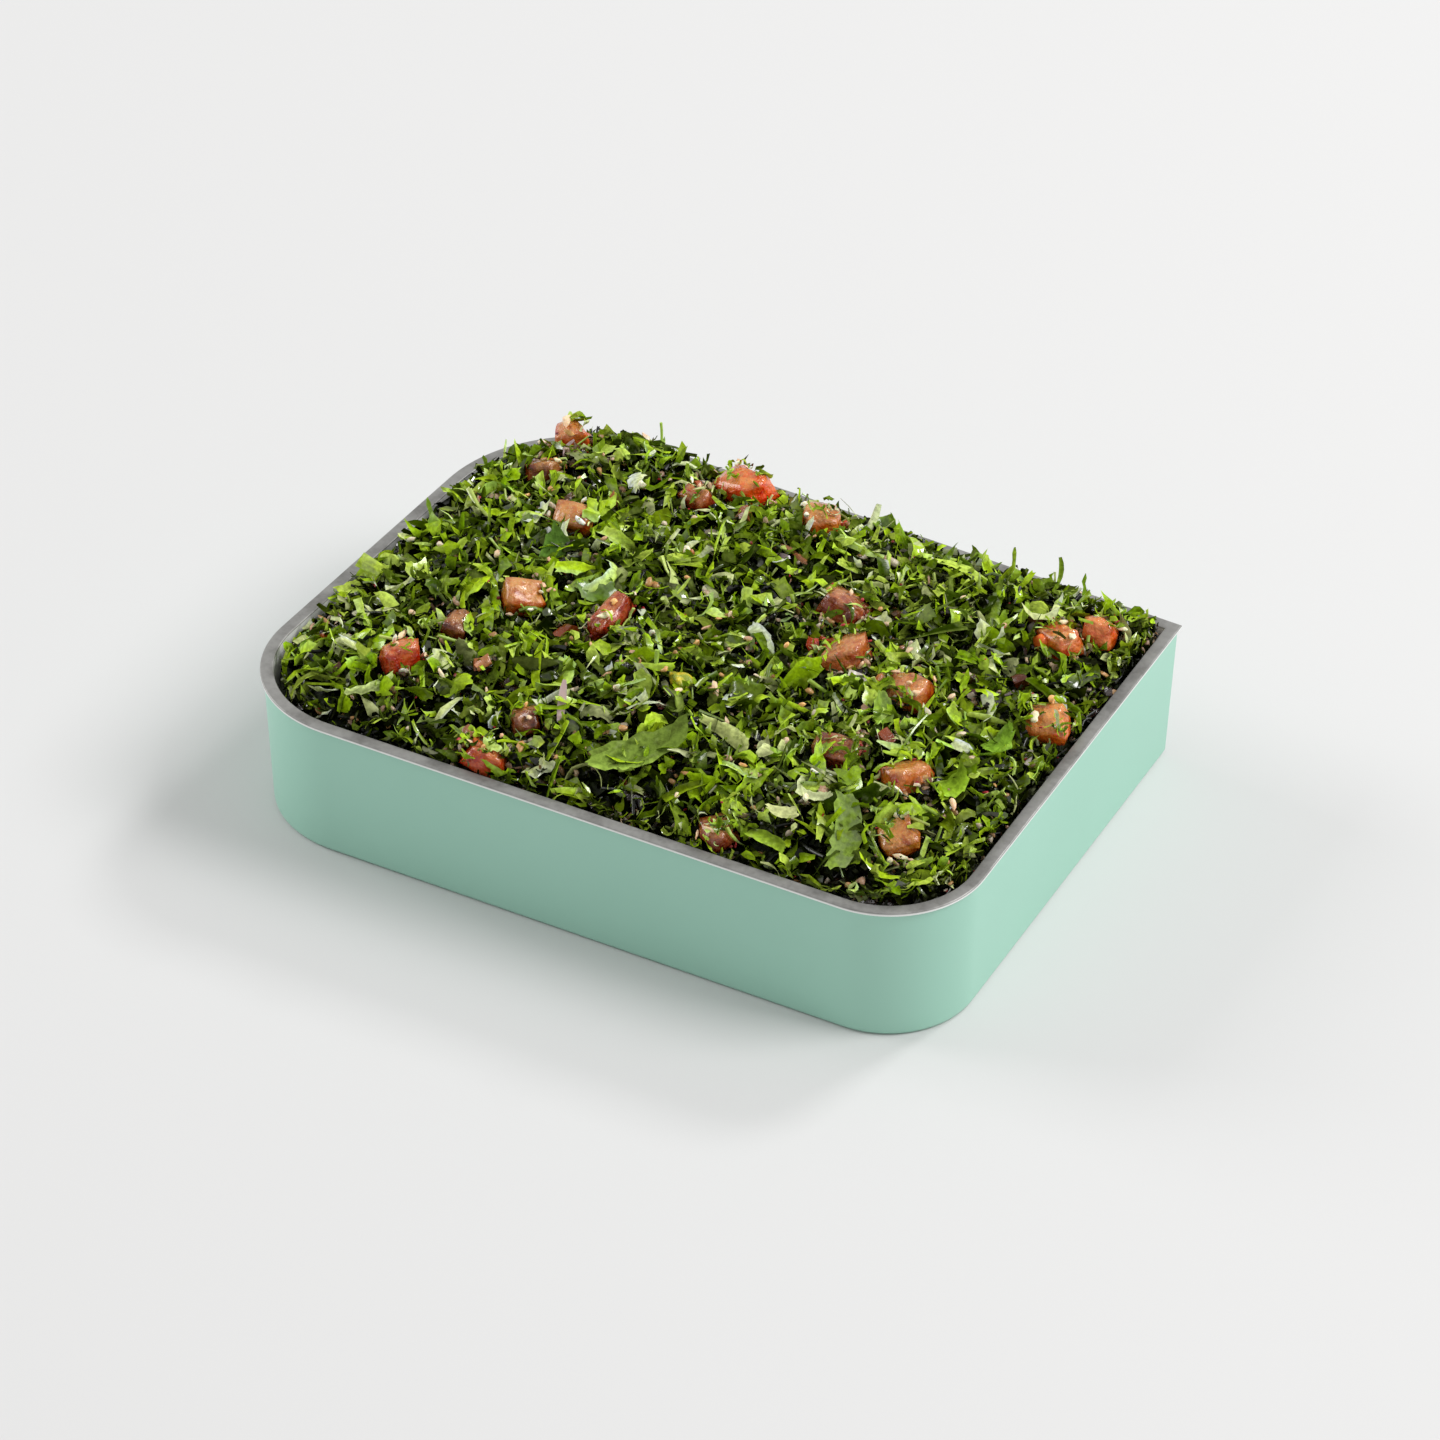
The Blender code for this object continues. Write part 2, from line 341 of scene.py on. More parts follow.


# The liner: a tray pressed from thin sheet steel and hung in the casing by its flat rim. The steel is bare
# and dull and cloudy from washing along the rim; below the rim it is painted near white, a painted
# reflection.
RIM_WIDTH = 3.8 * MM
RIM_THICKNESS = 1.2 * MM
RIM_ROUNDING = 0.4 * MM
RIM_TUCK = 0.1 * MM
STEEL = 0.7 * MM
LINER_FLOOR_ROUNDING = 4.0 * MM
LINER_UNDER = rim_low.z
STEEL_LIGHT = (0.36, 0.355, 0.34)
STEEL_DARK = (0.19, 0.185, 0.175)
WALL_STEEL_PAINTED_LIGHT = (0.86, 0.86, 0.84)
STEEL_CLOUDS = 14 * MM
STEEL_SPECKS = 1.6 * MM
STEEL_GRAIN = 0.9 * MM
RIM_METALLIC = 0.55
WALL_METALLIC = 0.10

edge_height = HEIGHT - RIM_ROUNDING
under_rim = HEIGHT - RIM_THICKNESS
floor_turn = list(reversed(quarter(LINER_FLOOR_ROUNDING, steps=5)))
inside = list(reversed(quarter(RIM_ROUNDING)))
inside.append((RIM_WIDTH - 2 * RIM_ROUNDING, 0.0))
inside += downward(quarter(RIM_ROUNDING))
inside += downward([drop(edge_height, LINER_UNDER + STEEL + LINER_FLOOR_ROUNDING), *floor_turn])
outside = [(0.0, RIM_THICKNESS - 2 * RIM_ROUNDING), *reversed(quarter(RIM_ROUNDING))]
outside.append((RIM_WIDTH - STEEL - RIM_ROUNDING + lean(under_rim), 0.0))
outside += [drop(under_rim, LINER_UNDER + LINER_FLOOR_ROUNDING), *floor_turn]
liner = shell("steel_liner", edge_height, RIM_TUCK, inside, outside)
bpy.ops.object.shade_smooth_by_angle(angle=SMOOTH_UNDER)
steel, steel_shader, steel_place = finish("bare_steel", Metallic=RIM_METALLIC)
clouds = steel_place.noise(STEEL_CLOUDS, 4.0).between(0.40, 0.66)
specks = steel_place.noise(STEEL_SPECKS, 3.0).between(0.35, 0.75)
rim_steel = (clouds * 0.7 + specks * 0.3).mix(STEEL_LIGHT, STEEL_DARK)
height = steel_place.node("ShaderNodeSeparateXYZ", {}, {0: steel_place}, output=2)
on_rim = height.between(HEIGHT - 0.6 * MM, HEIGHT - 0.2 * MM)
# Below the rim the steel is painted near white: painted light, for the bright room that the walls reflect.
plug(on_rim.mix(WALL_STEEL_PAINTED_LIGHT, rim_steel), steel_shader.inputs["Base Color"])
plug(on_rim * (RIM_METALLIC - WALL_METALLIC) + WALL_METALLIC, steel_shader.inputs["Metallic"])
plug(0.48 + clouds * 0.14, steel_shader.inputs["Roughness"])
bumped(steel_place.noise(STEEL_GRAIN, 3.0), steel_shader, 0.02 * MM)
liner.data.materials.append(steel)
give(liner, "steel", "liner")


# The salad's core: the packed, wet mass of chopped parsley that the loose pieces lie on. It is a rougher
# copy of the salad body, a few millimetres lower, coloured almost black as painted shade for the gaps it
# shows in.
CORE_DEPTH = 2.4
CORE_LUMPS = 7.0
CORE_CRUMBS = 3.0
CORE_TOP_FROM = 30
CORE_SHRINK = 0.997
CORE_SHADE_BLACK = (0.006, 0.009, 0.002)
CORE_SHADE_GREEN = (0.030, 0.045, 0.006)


def copy_of(node, name):
    """A copy of a CAD body with a mesh of its own and its doubled points merged, left selected and active."""
    clear_selection()
    body = bpy.data.objects[node]
    copy = bpy.data.objects.new(name, body.data.copy())
    bpy.context.scene.collection.objects.link(copy)
    copy.matrix_world = body.matrix_world
    copy.select_set(True)
    bpy.context.view_layer.objects.active = copy
    bpy.ops.object.transform_apply(location=True, rotation=True, scale=True)
    copy.data.materials.clear()
    bpy.ops.object.mode_set(mode="EDIT")
    bpy.ops.mesh.select_all(action="SELECT")
    bpy.ops.mesh.remove_doubles(threshold=0.01 * MM)
    bpy.ops.object.mode_set(mode="OBJECT")
    return copy


def waves(x, y, size, seed, count=14):
    """Random smooth lumps of about this size, from -1 to 1 or so, at the points x, y."""
    draw = np.random.default_rng(seed)
    total = 0
    for angle, phase, stretch in draw.uniform((0, 0, 0.7), (2 * np.pi, 2 * np.pi, 1.4), (count, 3)):
        along = np.cos(angle) * x + np.sin(angle) * y
        total = total + np.sin(2 * np.pi * along * stretch / size + phase)
    return total / np.sqrt(count)


core = copy_of("salad", "salad_core")
select_where(core, "FACE", lambda face: face.normal.z > 0.3)
for cuts in (2, 1):
    bpy.ops.mesh.subdivide(number_cuts=cuts)
bpy.ops.object.mode_set(mode="OBJECT")
spots = np.array([vertex.co for vertex in core.data.vertices]) / MM
upward = np.array([vertex.normal.z for vertex in core.data.vertices])
x, y = spots[:, 0], spots[:, 1]
relief = waves(x, y, CORE_LUMPS, seed=3) + 0.5 * waves(x, y, CORE_CRUMBS, seed=4)
on_top = (upward > 0.1) & (spots[:, 2] > CORE_TOP_FROM)
spots[:, 2] -= np.where(on_top, CORE_DEPTH + np.clip(relief, -2.0, 2.0), 0)
spots[:, :2] *= CORE_SHRINK
core.data.vertices.foreach_set("co", (spots * MM).ravel())
bpy.ops.object.shade_smooth_by_angle(angle=math.radians(50))
mash, mash_shader, mash_place = finish("parsley_mash_in_shade", Roughness=0.6, Specular_IOR_Level=0.3)
# Near-black greens: painted shade, for the depth of the gaps between the loose pieces.
mash_shade_colour = mash_place.noise(2.5 * MM, 4.0).between(0.42, 0.68).mix(CORE_SHADE_BLACK, CORE_SHADE_GREEN)
plug(mash_shade_colour, mash_shader.inputs["Base Color"])
bumped(mash_place.noise(1.5 * MM, 3.0), mash_shader, 0.8 * MM)
core.data.materials.append(mash)
give(core, "parsley", "salad")


# Tomato dice: the larger pieces of tomato, cut with a knife. Their tops are cut flesh, wet, fibrous and
# pinkish orange, their sides show deeper red skin, and all are a little slumped. No two are alike. Faces that
# look up are coloured paler, partly the cut flesh and partly painted light from above.
DICE_COLOURS = {
    # piece: flesh colour, skin colour (both as shown in a paint mixer, 0 to 255)
    1: ((205, 120, 70), (190, 80, 35)), 2: ((150, 95, 65), (120, 55, 30)),
    3: ((190, 125, 85), (165, 95, 60)), 4: ((195, 130, 90), (175, 85, 50)),
    5: ((165, 40, 25), (140, 22, 10)), 6: ((120, 50, 25), (95, 28, 12)),
    7: ((205, 95, 55), (165, 40, 25)), 8: ((210, 95, 50), (180, 60, 30)),
    9: ((125, 60, 40), (95, 35, 22)), 10: ((160, 75, 40), (135, 50, 25)),
    11: ((225, 110, 45), (215, 70, 18)), 12: ((205, 140, 100), (190, 105, 65)),
    13: ((160, 75, 60), (125, 45, 32)), 14: ((195, 120, 90), (165, 75, 50)),
    15: ((195, 120, 95), (165, 80, 60)), 16: ((140, 60, 55), (115, 32, 32)),
    17: ((195, 120, 72), (165, 75, 40)), 18: ((185, 125, 75), (160, 85, 45)),
    19: ((220, 145, 95), (200, 95, 50)), 20: ((215, 135, 90), (190, 80, 40)),
    21: ((220, 125, 85), (195, 85, 50)), 22: ((150, 75, 50), (110, 40, 28)),
}
DICE_CUTS = 2
DICE_SLUMP = 0.12
DICE_NARROWING = (-0.12, 0.22)
DICE_LEANING = (-0.16, 0.16)
DICE_BITES = (0.0, 0.6, 1.5)
DICE_SWELL = 0.2
DICE_ROUGHNESS = 0.10
DICE_DENTS = 5.0
DICE_EDGE = math.radians(45)
SUNK_AT_RIGHT = 0.88
DICE_GLOW = 1.02
FLESH_LEAN = (1, 0.97, 0.6)
SKIN_LEAN = (1, 0.95, 0.4)
PALE_LIT_FLESH = (235, 180, 125)
UPWARD_PALE_LIT_SHARE = 0.30
ORANGE_SKIN_FROM = 55
ORANGE_SKIN = (1.3, 1.3, 0.3)
RED_SKIN = (1.35, 1.0, 0.4)
FIBRE_TINT = (0.80, 0.40, 0.13)


def paint(colour):
    """A colour from 0 to 255 as shown on a screen, turned into the amounts of light a material needs."""
    return np.array([((c / 255 + 0.055) / 1.055) ** 2.4 for c in colour])


wet_skin = {"Coat_Weight": 0.7, "Coat_Roughness": 0.08}
dice_flesh, dice_shader, dice_place = finish("tomato_dice", Roughness=0.2, Subsurface_Weight=0.35, **wet_skin)
dice_shader.inputs["Subsurface Radius"].default_value = (0.004, 0.0012, 0.0004)
dice_tint = dice_place.node("ShaderNodeAttribute", {"attribute_name": "tint"})
fibres = dice_place.noise(1.6 * MM, 4.0).between(0.36, 0.62)
blush = dice_place.noise(4.5 * MM, 2.0).between(0.36, 0.62)
dice_deep = dice_place.node("ShaderNodeGamma", {}, {0: dice_tint, 1: 1.9})
between_fibres = blush.mix(dice_deep, dice_tint)
on_fibres = (blush * 0.20).mix(dice_tint, FIBRE_TINT)
plug((fibres * 0.75).mix(between_fibres, on_fibres), dice_shader.inputs["Base Color"])
bumped(dice_place.noise(2.2 * MM, 4.0), dice_shader, 1.3 * MM)
for number, (flesh_colour, skin_colour) in DICE_COLOURS.items():
    node = f"tomato_{number:02d}"
    dice = copy_of(node, f"tomato_dice_{number:02d}")
    draw = np.random.default_rng(900 + number)
    bpy.ops.object.mode_set(mode="EDIT")
    bpy.ops.mesh.select_all(action="SELECT")
    bpy.ops.mesh.subdivide(number_cuts=DICE_CUTS, smoothness=0.0)
    bpy.ops.mesh.vertices_smooth(factor=DICE_SLUMP, repeat=1)
    bpy.ops.object.mode_set(mode="OBJECT")
    corners = np.array([vertex.co for vertex in dice.data.vertices]) / MM
    upright = np.array([vertex.normal for vertex in dice.data.vertices])
    if corners[:, 0].mean() > 30 and corners[:, 1].mean() < 50:
        foot = corners[:, 2].min()
        corners[:, 2] = foot + SUNK_AT_RIGHT * (corners[:, 2] - foot)
    middle = (corners.min(axis=0) + corners.max(axis=0)) / 2
    span = (corners.max(axis=0) - corners.min(axis=0)) / 2
    along = (corners - middle) / span
    narrowing = draw.uniform(*DICE_NARROWING, 2)
    leaning = draw.uniform(*DICE_LEANING, 2)
    corners[:, :2] = middle[:2] + span[:2] * (along[:, :2] * (1 - narrowing * (along[:, 2:] + 1) / 2)
                                              + leaning * (along[:, 2:] + 1) / 2)
    bite = draw.normal(0, 1, 3) * (1, 1, 0.3) + (0, 0, 0.8)
    outward = along / np.linalg.norm(along, axis=1)[:, None]
    bitten = np.clip(outward @ (bite / np.linalg.norm(bite)) - 0.75, 0, 1)
    corners -= (corners - middle) * (draw.choice(DICE_BITES) * bitten)[:, None]
    wobble = waves(corners[:, 0] + corners[:, 2], corners[:, 1] - corners[:, 2], DICE_DENTS, seed=number)
    corners += upright * (DICE_SWELL + DICE_ROUGHNESS * wobble)[:, None]
    dice.data.vertices.foreach_set("co", (corners * MM).ravel())
    bpy.ops.object.shade_smooth_by_angle(angle=DICE_EDGE)
    facing = draw.normal(0, 1, 3) * (1, 1, 0.4)
    skin = np.clip(2.5 * (upright @ (facing / np.linalg.norm(facing)) - 0.35), 0, 1)[:, None]
    skin = np.clip(skin + 1.1 - 1.6 * upright[:, 2:], 0, 1)
    # Upward faces mixed toward pale flesh: the cut flesh's own paleness and painted light from above.
    pale_and_lit = UPWARD_PALE_LIT_SHARE * np.clip(upright[:, 2:], 0, 1)
    flesh_tint = paint(flesh_colour) * (1 - pale_and_lit) + paint(PALE_LIT_FLESH) * pale_and_lit
    side_tint = paint(skin_colour) * (ORANGE_SKIN if skin_colour[1] > ORANGE_SKIN_FROM else RED_SKIN)
    tints = DICE_GLOW * (flesh_tint * (1 - skin) * FLESH_LEAN + side_tint * skin * SKIN_LEAN)
    corner_tints = dice.data.attributes.new("tint", "FLOAT_COLOR", "POINT")
    corner_tints.data.foreach_set("color", np.hstack([tints, np.ones((len(tints), 1))]).ravel())
    dice.data.materials.append(dice_flesh)
    give(dice, "tomato", node)


# The toss: how the loose pieces came to lie. Every kind is tipped in mixed order, and each piece settles
# where the heap is lowest, on what is already there, between the dish's wall and the tomato dice. Lengths
# are in millimetres.
CELL = 1.0
CEILING = 60.2
NOWHERE = -1000.0
FORBIDDEN = 1000.0
KINDS = {
    # kind: count, length and width (typical, spread), tilt, roll, fold, curl, twist, points it settles by
    "shred": (6200, (6.0, 0.50), (1.25, 0.45), 31, 50, 0.60, 1.2, 1.3, (7, 3)),
    "cut": (4900, (8.6, 0.36), (2.9, 0.40), 29, 42, 0.60, 1.1, 0.9, (8, 4)),
    "broad": (520, (12.5, 0.26), (6.0, 0.26), 22, 32, 0.35, 0.9, 0.5, (14, 8)),
    "stem": (1600, (7.2, 0.45), (0.80, 0.28), 24, 90, 0.0, 0.8, 0.0, (9, 1)),
    "grain": (2400, (2.3, 0.26), (1.55, 0.22), 30, 90, 0.0, 0.0, 0.0, (3, 3)),
    "tomato_bit": (290, (3.6, 0.34), (2.7, 0.25), 30, 30, 0.0, 0.0, 0.0, (5, 4)),
    "flake": (300, (1.3, 0.20), (0.9, 0.20), 30, 30, 0.0, 0.0, 0.0, (2, 2)),
    "onion": (70, (5.5, 0.30), (2.2, 0.25), 25, 40, 0.3, 0.8, 0.0, (6, 3)),
}
SINK = {
    "shred": 0.5, "cut": 0.5, "broad": 0.6, "stem": 0.5,
    "grain": 0.6, "tomato_bit": 0.5, "flake": 1.0, "onion": 0.6,
}
LAID_LAST = (
    # the pieces laid one by one: kind, place, (length, width), (turn, tilt, roll), curl, bow, colour
    ("broad", (10, -61), (29, 14), (46, -4, 18), 0.4, 0.05, (0.26, 0.38, 0.06)),
    ("broad", (-3, -38), (12, 8), (112, -20, 10), 0.5, 0.10, (0.33, 0.44, 0.06)),
    ("broad", (29, -43), (18, 5.5), (-14, 4, 30), 0.5, -0.12, (0.52, 0.58, 0.20)),
    ("broad", (76, -64), (24, 10), (108, -22, 6), 0.4, 0.05, (0.24, 0.36, 0.05)),
    ("broad", (61, -13), (12, 7.5), (124, -32, 8), 0.6, 0.10, (0.30, 0.46, 0.05)),
    ("broad", (91, -32), (15, 9), (48, -6, 24), 1.3, 0.12, (0.30, 0.48, 0.03)),
    ("broad", (-58, 10), (16, 10), (96, -18, 12), 0.7, 0.10, (0.10, 0.20, 0.03)),
    ("broad", (-71, -69), (15, 3.6), (58, 3, 25), 0.3, 0.08, (0.46, 0.56, 0.20)),
    ("broad", (57, -64), (9, 5), (20, 4, 20), 0.4, 0.10, (0.74, 0.78, 0.34)),
    ("broad", (64, -57), (9, 4.5), (34, 4, 30), 0.9, 0.10, (0.70, 0.76, 0.40)),
    ("broad", (57, -72), (13, 4), (-6, 0, 35), 0.3, -0.15, (0.28, 0.42, 0.03)),
    ("broad", (16, 73), (10, 6), (28, -20, 40), 1.6, 0.10, (0.22, 0.36, 0.03)),
    ("broad", (-36, -3), (13, 7), (20, 5, 30), 0.8, 0.12, (0.16, 0.28, 0.03)),
    ("broad", (93, -6), (12, 6), (70, -10, 20), 0.6, 0.10, (0.20, 0.36, 0.03)),
    ("cut", (57, 72), (9, 2.0), (118, -64, 20), 0.4, 0.10, (0.30, 0.44, 0.03)),
    ("cut", (73, 70), (10, 1.8), (100, -60, 10), 0.6, 0.15, (0.26, 0.40, 0.03)),
    ("cut", (81, 69), (9, 2.2), (130, -68, 30), 0.5, 0.10, (0.22, 0.38, 0.02)),
    ("cut", (-100, 13), (9, 2.0), (150, -55, 20), 0.4, 0.10, (0.20, 0.34, 0.03)),
    ("stem", (-58, 73), (9, 0.8), (119, -72, 0), 0.3, 0.05, (0.26, 0.38, 0.06)),
    ("stem", (65, -45), (8, 1.2), (35, 0, 0), 0.3, 0.45, (0.62, 0.68, 0.34)),
    ("stem", (37, 70), (5.5, 2.2), (30, 0, 0), 0.1, 0.02, (0.50, 0.58, 0.26)),
    ("onion", (-46, -42), (10, 1.3), (30, 0, 80), 2.6, 0.10, (0.58, 0.66, 0.24)),
    ("onion", (-19, -51), (12, 3.2), (112, -48, 6), 0.4, 0.05, (0.40, 0.29, 0.29)),
)
SMOOTH_LEAF = math.radians(60)
LAID_LIMIT = 30.0
LAID_SINK = 0.85
TRIES = 16
OVERSHOOT = 3.6
SPRINKLED = 0.08
SPRINKLED_ON_DICE = {"grain": 0.25, "shred": 0.85, "cut": 0.85, "flake": 0.85}
SMALL_UNDER = 6.5
ALONG_WALL = 0.12
ALONG_WALL_UNDER = 9
FILL_LIFT = 2.3
FILL_UNEVEN = 1.2
BACK_LIFT = 0.9
BACK_BANK = 1.2
DICE_BANK = (1.6, 3.8)
WALL_BANK = 3.0
WALL_BANK_SHARES = ((-85, -60, 80, 95), (-1.2, 0.1, 0.2, 1))


def bent(flat, form):
    """Flat pieces (pieces x points x 3), folded along the middle, bowed, curled lengthways and twisted."""
    half = form["half"]
    x, y, z = flat[..., 0], flat[..., 1], flat[..., 2]
    z = z + form["fold"] * np.abs(y)
    z = z + form["crinkle"] * np.sin(1.3 * x + form["phase"]) * np.sin(1.7 * y + 2.1 * form["phase"])
    y = y + form["bow"] * x ** 2 / half
    turn = form["twist"] * x / half
    y, z = y * np.cos(turn) - z * np.sin(turn), y * np.sin(turn) + z * np.cos(turn)
    arc = form["curl"] * x / half
    x = half * np.sin(arc) / form["curl"] - z * np.sin(arc)
    z = half * (1 - np.cos(arc)) / form["curl"] + z * np.cos(arc)
    return np.stack([x, y, z], axis=-1)


def turned(shapes, turns):
    """Shapes (pieces x points x 3) turned by one matrix each."""
    return np.einsum("nij,nkj->nki", turns, shapes)


def random_turns(draw, count, tilt, roll):
    """Turning matrices: rolled about the length, tilted out of the level, then turned any way round."""
    a = np.radians(draw.normal(0, roll, count)) + np.pi * draw.integers(0, 2, count)
    b = np.radians(draw.normal(0, tilt, count))
    c = draw.uniform(0, 2 * np.pi, count)
    zero, one = np.zeros(count), np.ones(count)
    rolled = np.array([[one, zero, zero], [zero, np.cos(a), -np.sin(a)], [zero, np.sin(a), np.cos(a)]])
    tilted = np.array([[np.cos(b), zero, np.sin(b)], [zero, one, zero], [-np.sin(b), zero, np.cos(b)]])
    yawed = np.array([[np.cos(c), -np.sin(c), zero], [np.sin(c), np.cos(c), zero], [zero, zero, one]])
    rolled, tilted, yawed = (np.moveaxis(matrix, 2, 0) for matrix in (rolled, tilted, yawed))
    return yawed @ tilted @ rolled


def make_kind(name, seed):
    """Sizes, bends and turns for all the pieces of a kind, and the coarse points by which they settle."""
    count, length, width, tilt, roll, fold, curl, twist, grid = KINDS[name]
    draw = np.random.default_rng(seed)
    size = np.exp(draw.normal(0, 1, (count, 2)) * (length[1], width[1])) * (length[0], width[0])
    size[:, 1] = np.minimum(size[:, 1], 0.85 * size[:, 0])
    form = {
        "half": size[:, 0] / 2,
        "fold": draw.normal(0, fold, count),
        "curl": draw.normal(0, curl, count),
        "twist": draw.normal(0, twist, count),
        "bow": draw.normal(0, 0.10, count),
        "crinkle": np.abs(draw.normal(0, 0.25, count)) * (fold > 0),
        "phase": draw.uniform(0, 6.28, count),
    }
    form = {name: values[:, None] for name, values in form.items()}
    form["curl"] = np.where(np.abs(form["curl"]) < 0.02, 0.02, form["curl"])
    across = np.linspace(-1, 1, grid[1]) if grid[1] > 1 else [0.0]
    u, v = (values.ravel() for values in np.meshgrid(np.linspace(-1, 1, grid[0]), across))
    turns = random_turns(draw, count, tilt, roll)
    own = np.full((count, 3), np.nan)
    rows = [row for row in LAID_LAST if row[0] == name]
    for n, (_, place, (long, wide), (turn, lift, spin), curl, bow, colour) in enumerate(rows):
        size[n], own[n] = (long, wide), colour
        form["half"][n], form["curl"][n], form["bow"][n] = long / 2, curl, bow
        form["fold"][n], form["twist"][n] = 0.15, 0.2
        matrix = Matrix.Rotation(math.radians(turn), 3, "Z") @ Matrix.Rotation(math.radians(lift), 3, "Y")
        turns[n] = matrix @ Matrix.Rotation(math.radians(spin), 3, "X")
    x, y = u * size[:, :1] / 2, v * size[:, 1:] / 2
    coarse = turned(bent(np.stack([x, y, np.zeros_like(x)], axis=-1), form), turns)
    made = {"kind": name, "size": size, "form": form, "turns": turns, "coarse": coarse, "last": rows}
    return made | {"own": own, "place": np.full((count, 3), np.nan), "depth": np.zeros(count)}


def height_map(bodies, empty):
    """The height of the topmost of these bodies over every cell, or empty where there is none."""
    heights = np.full((len(CELL_X), len(CELL_Y)), empty)
    for body in bodies:
        corners = [vertex.co for vertex in body.data.vertices]
        tree = BVHTree.FromPolygons(corners, [face.vertices for face in body.data.polygons])
        corners = np.array([body.matrix_world @ Vector(corner) for corner in body.bound_box]) / MM
        for i in np.flatnonzero((CELL_X >= corners[:, 0].min()) & (CELL_X <= corners[:, 0].max())):
            for j in np.flatnonzero((CELL_Y >= corners[:, 1].min()) & (CELL_Y <= corners[:, 1].max())):
                start = body.matrix_world.inverted() @ (Vector((CELL_X[i], CELL_Y[j], 200)) * MM)
                place = tree.ray_cast(start, Vector((0, 0, -1)))[0]
                if place:
                    heights[i, j] = max(heights[i, j], (body.matrix_world @ place).z / MM)
    return heights


CELL_X = np.arange(-118.0, 118.5, CELL)
CELL_Y = np.arange(-88.0, 88.5, CELL)
target = height_map([bpy.data.objects["salad"]], NOWHERE)
heap = height_map([core], NOWHERE)
hard = height_map([body for body in bpy.data.objects if body.name.startswith("tomato_dice_")], NOWHERE)
rim_map = height_map([bpy.data.objects["liner"]], FORBIDDEN)
inside_dish = target > NOWHERE
grid_x, grid_y = np.meshgrid(CELL_X, CELL_Y, indexing="ij")
over_back_rim = (grid_y > 56) & (np.abs(grid_x + 58) < 22)
over_right_rim = (grid_x > 90) & (grid_y > -76)
over_rim = (over_back_rim | over_right_rim) & (rim_map < FORBIDDEN)
hard = np.where(inside_dish, hard, np.where(over_rim, rim_map + 0.2, FORBIDDEN))


def ramp(values, start, end):
    """0 up to the start, 1 from the end on, and straight between them."""
    return np.clip((values - start) / (end - start), 0, 1)


left_corner = ramp(grid_x, -94, -82) * (1 + 3 * ramp(-grid_x, 45, 60))
lift = FILL_LIFT + BACK_LIFT * (ramp(grid_y, 48, 70) * left_corner)
lift = lift + FILL_UNEVEN * waves(grid_x, grid_y, 8.0, seed=7)
target = target + np.where(inside_dish, lift, 0)
heap = np.where(inside_dish, np.maximum(heap, target - lift - CORE_DEPTH - 1.0), 0.0)


def spread(mask, reach):
    """A mask softened over a few cells around it."""
    mask = mask.astype(float)
    for _ in range(reach):
        mask = (mask + sum(np.roll(mask, step, axis) for step in (-1, 1) for axis in (0, 1))) / 5
    return mask


dice_bank = np.where(grid_y > 40, BACK_BANK, np.interp(grid_x, (0, 45), DICE_BANK))
target = target + dice_bank * np.minimum(1.6 * spread(inside_dish & (hard > 0), 5), 1.0)
wall_near = np.minimum(2.5 * spread(~inside_dish, 9), 1.0)
wall_bank = WALL_BANK * wall_near * np.interp(grid_x, *WALL_BANK_SHARES)
target = target + np.where(inside_dish, wall_bank, 0)
clusters = 0.12 + np.clip(waves(grid_x, grid_y, 26.0, seed=8), 0, 2) ** 2
open_cells = np.argwhere(inside_dish & (hard < 0))
on_dice = np.argwhere(inside_dish & (hard > 0))


def toss(kind, i, centres, spots, limit, sink=None):
    """Settles a piece at the centre where it lies lowest, unless it would stick out further than limit there.

    Its sink is the share of its points that end up clear of the heap. A piece from the list laid one by one
    brings its own, and is pressed down to stay under the ceiling.
    """
    points = kind["coarse"][i]
    cells = np.clip(cells_at(points[None, :, :2] + centres[:, None]), 0, np.array(heap.shape) - 1)
    at = cells[..., 0], cells[..., 1]
    rank = int((sink or SINK[kind["kind"]]) * (len(points) - 1))
    resting = np.sort(heap[at] - points[:, 2], axis=1)[:, rank]
    blocked = (hard[at] - points[:, 2]).max(axis=1)
    if sink:
        resting = np.minimum(resting, CEILING - 0.2 - points[:, 2].max())
    resting = np.maximum(resting, blocked) + 0.1
    ground = target[spots[:, 0], spots[:, 1]]
    top = resting + points[:, 2].max()
    over = np.where(top < CEILING, top - ground, limit + top)
    best = int(np.argmin(resting - ground + 50 * np.maximum(over - limit, 0)))
    if over[best] <= limit:
        kind["place"][i] = (*centres[best], resting[best])
        np.maximum.at(heap, (at[0][best], at[1][best]), resting[best] + points[:, 2] - 0.25)


def cells_at(places):
    """The cells of the height maps that these places fall in."""
    return np.rint(places / CELL - (CELL_X[0], CELL_Y[0])).astype(int)


def middles(spots):
    """The places of these cells' middles."""
    return np.stack([CELL_X[spots[:, 0]], CELL_Y[spots[:, 1]]], axis=1)


kinds = {name: make_kind(name, seed) for seed, name in enumerate(KINDS, start=20)}
order = [(name, i) for name in KINDS for i in range(len(kinds[name]["last"]), KINDS[name][0])]
draw = np.random.default_rng(5)
draw.shuffle(order)
sprinkled = []
along_wall = []
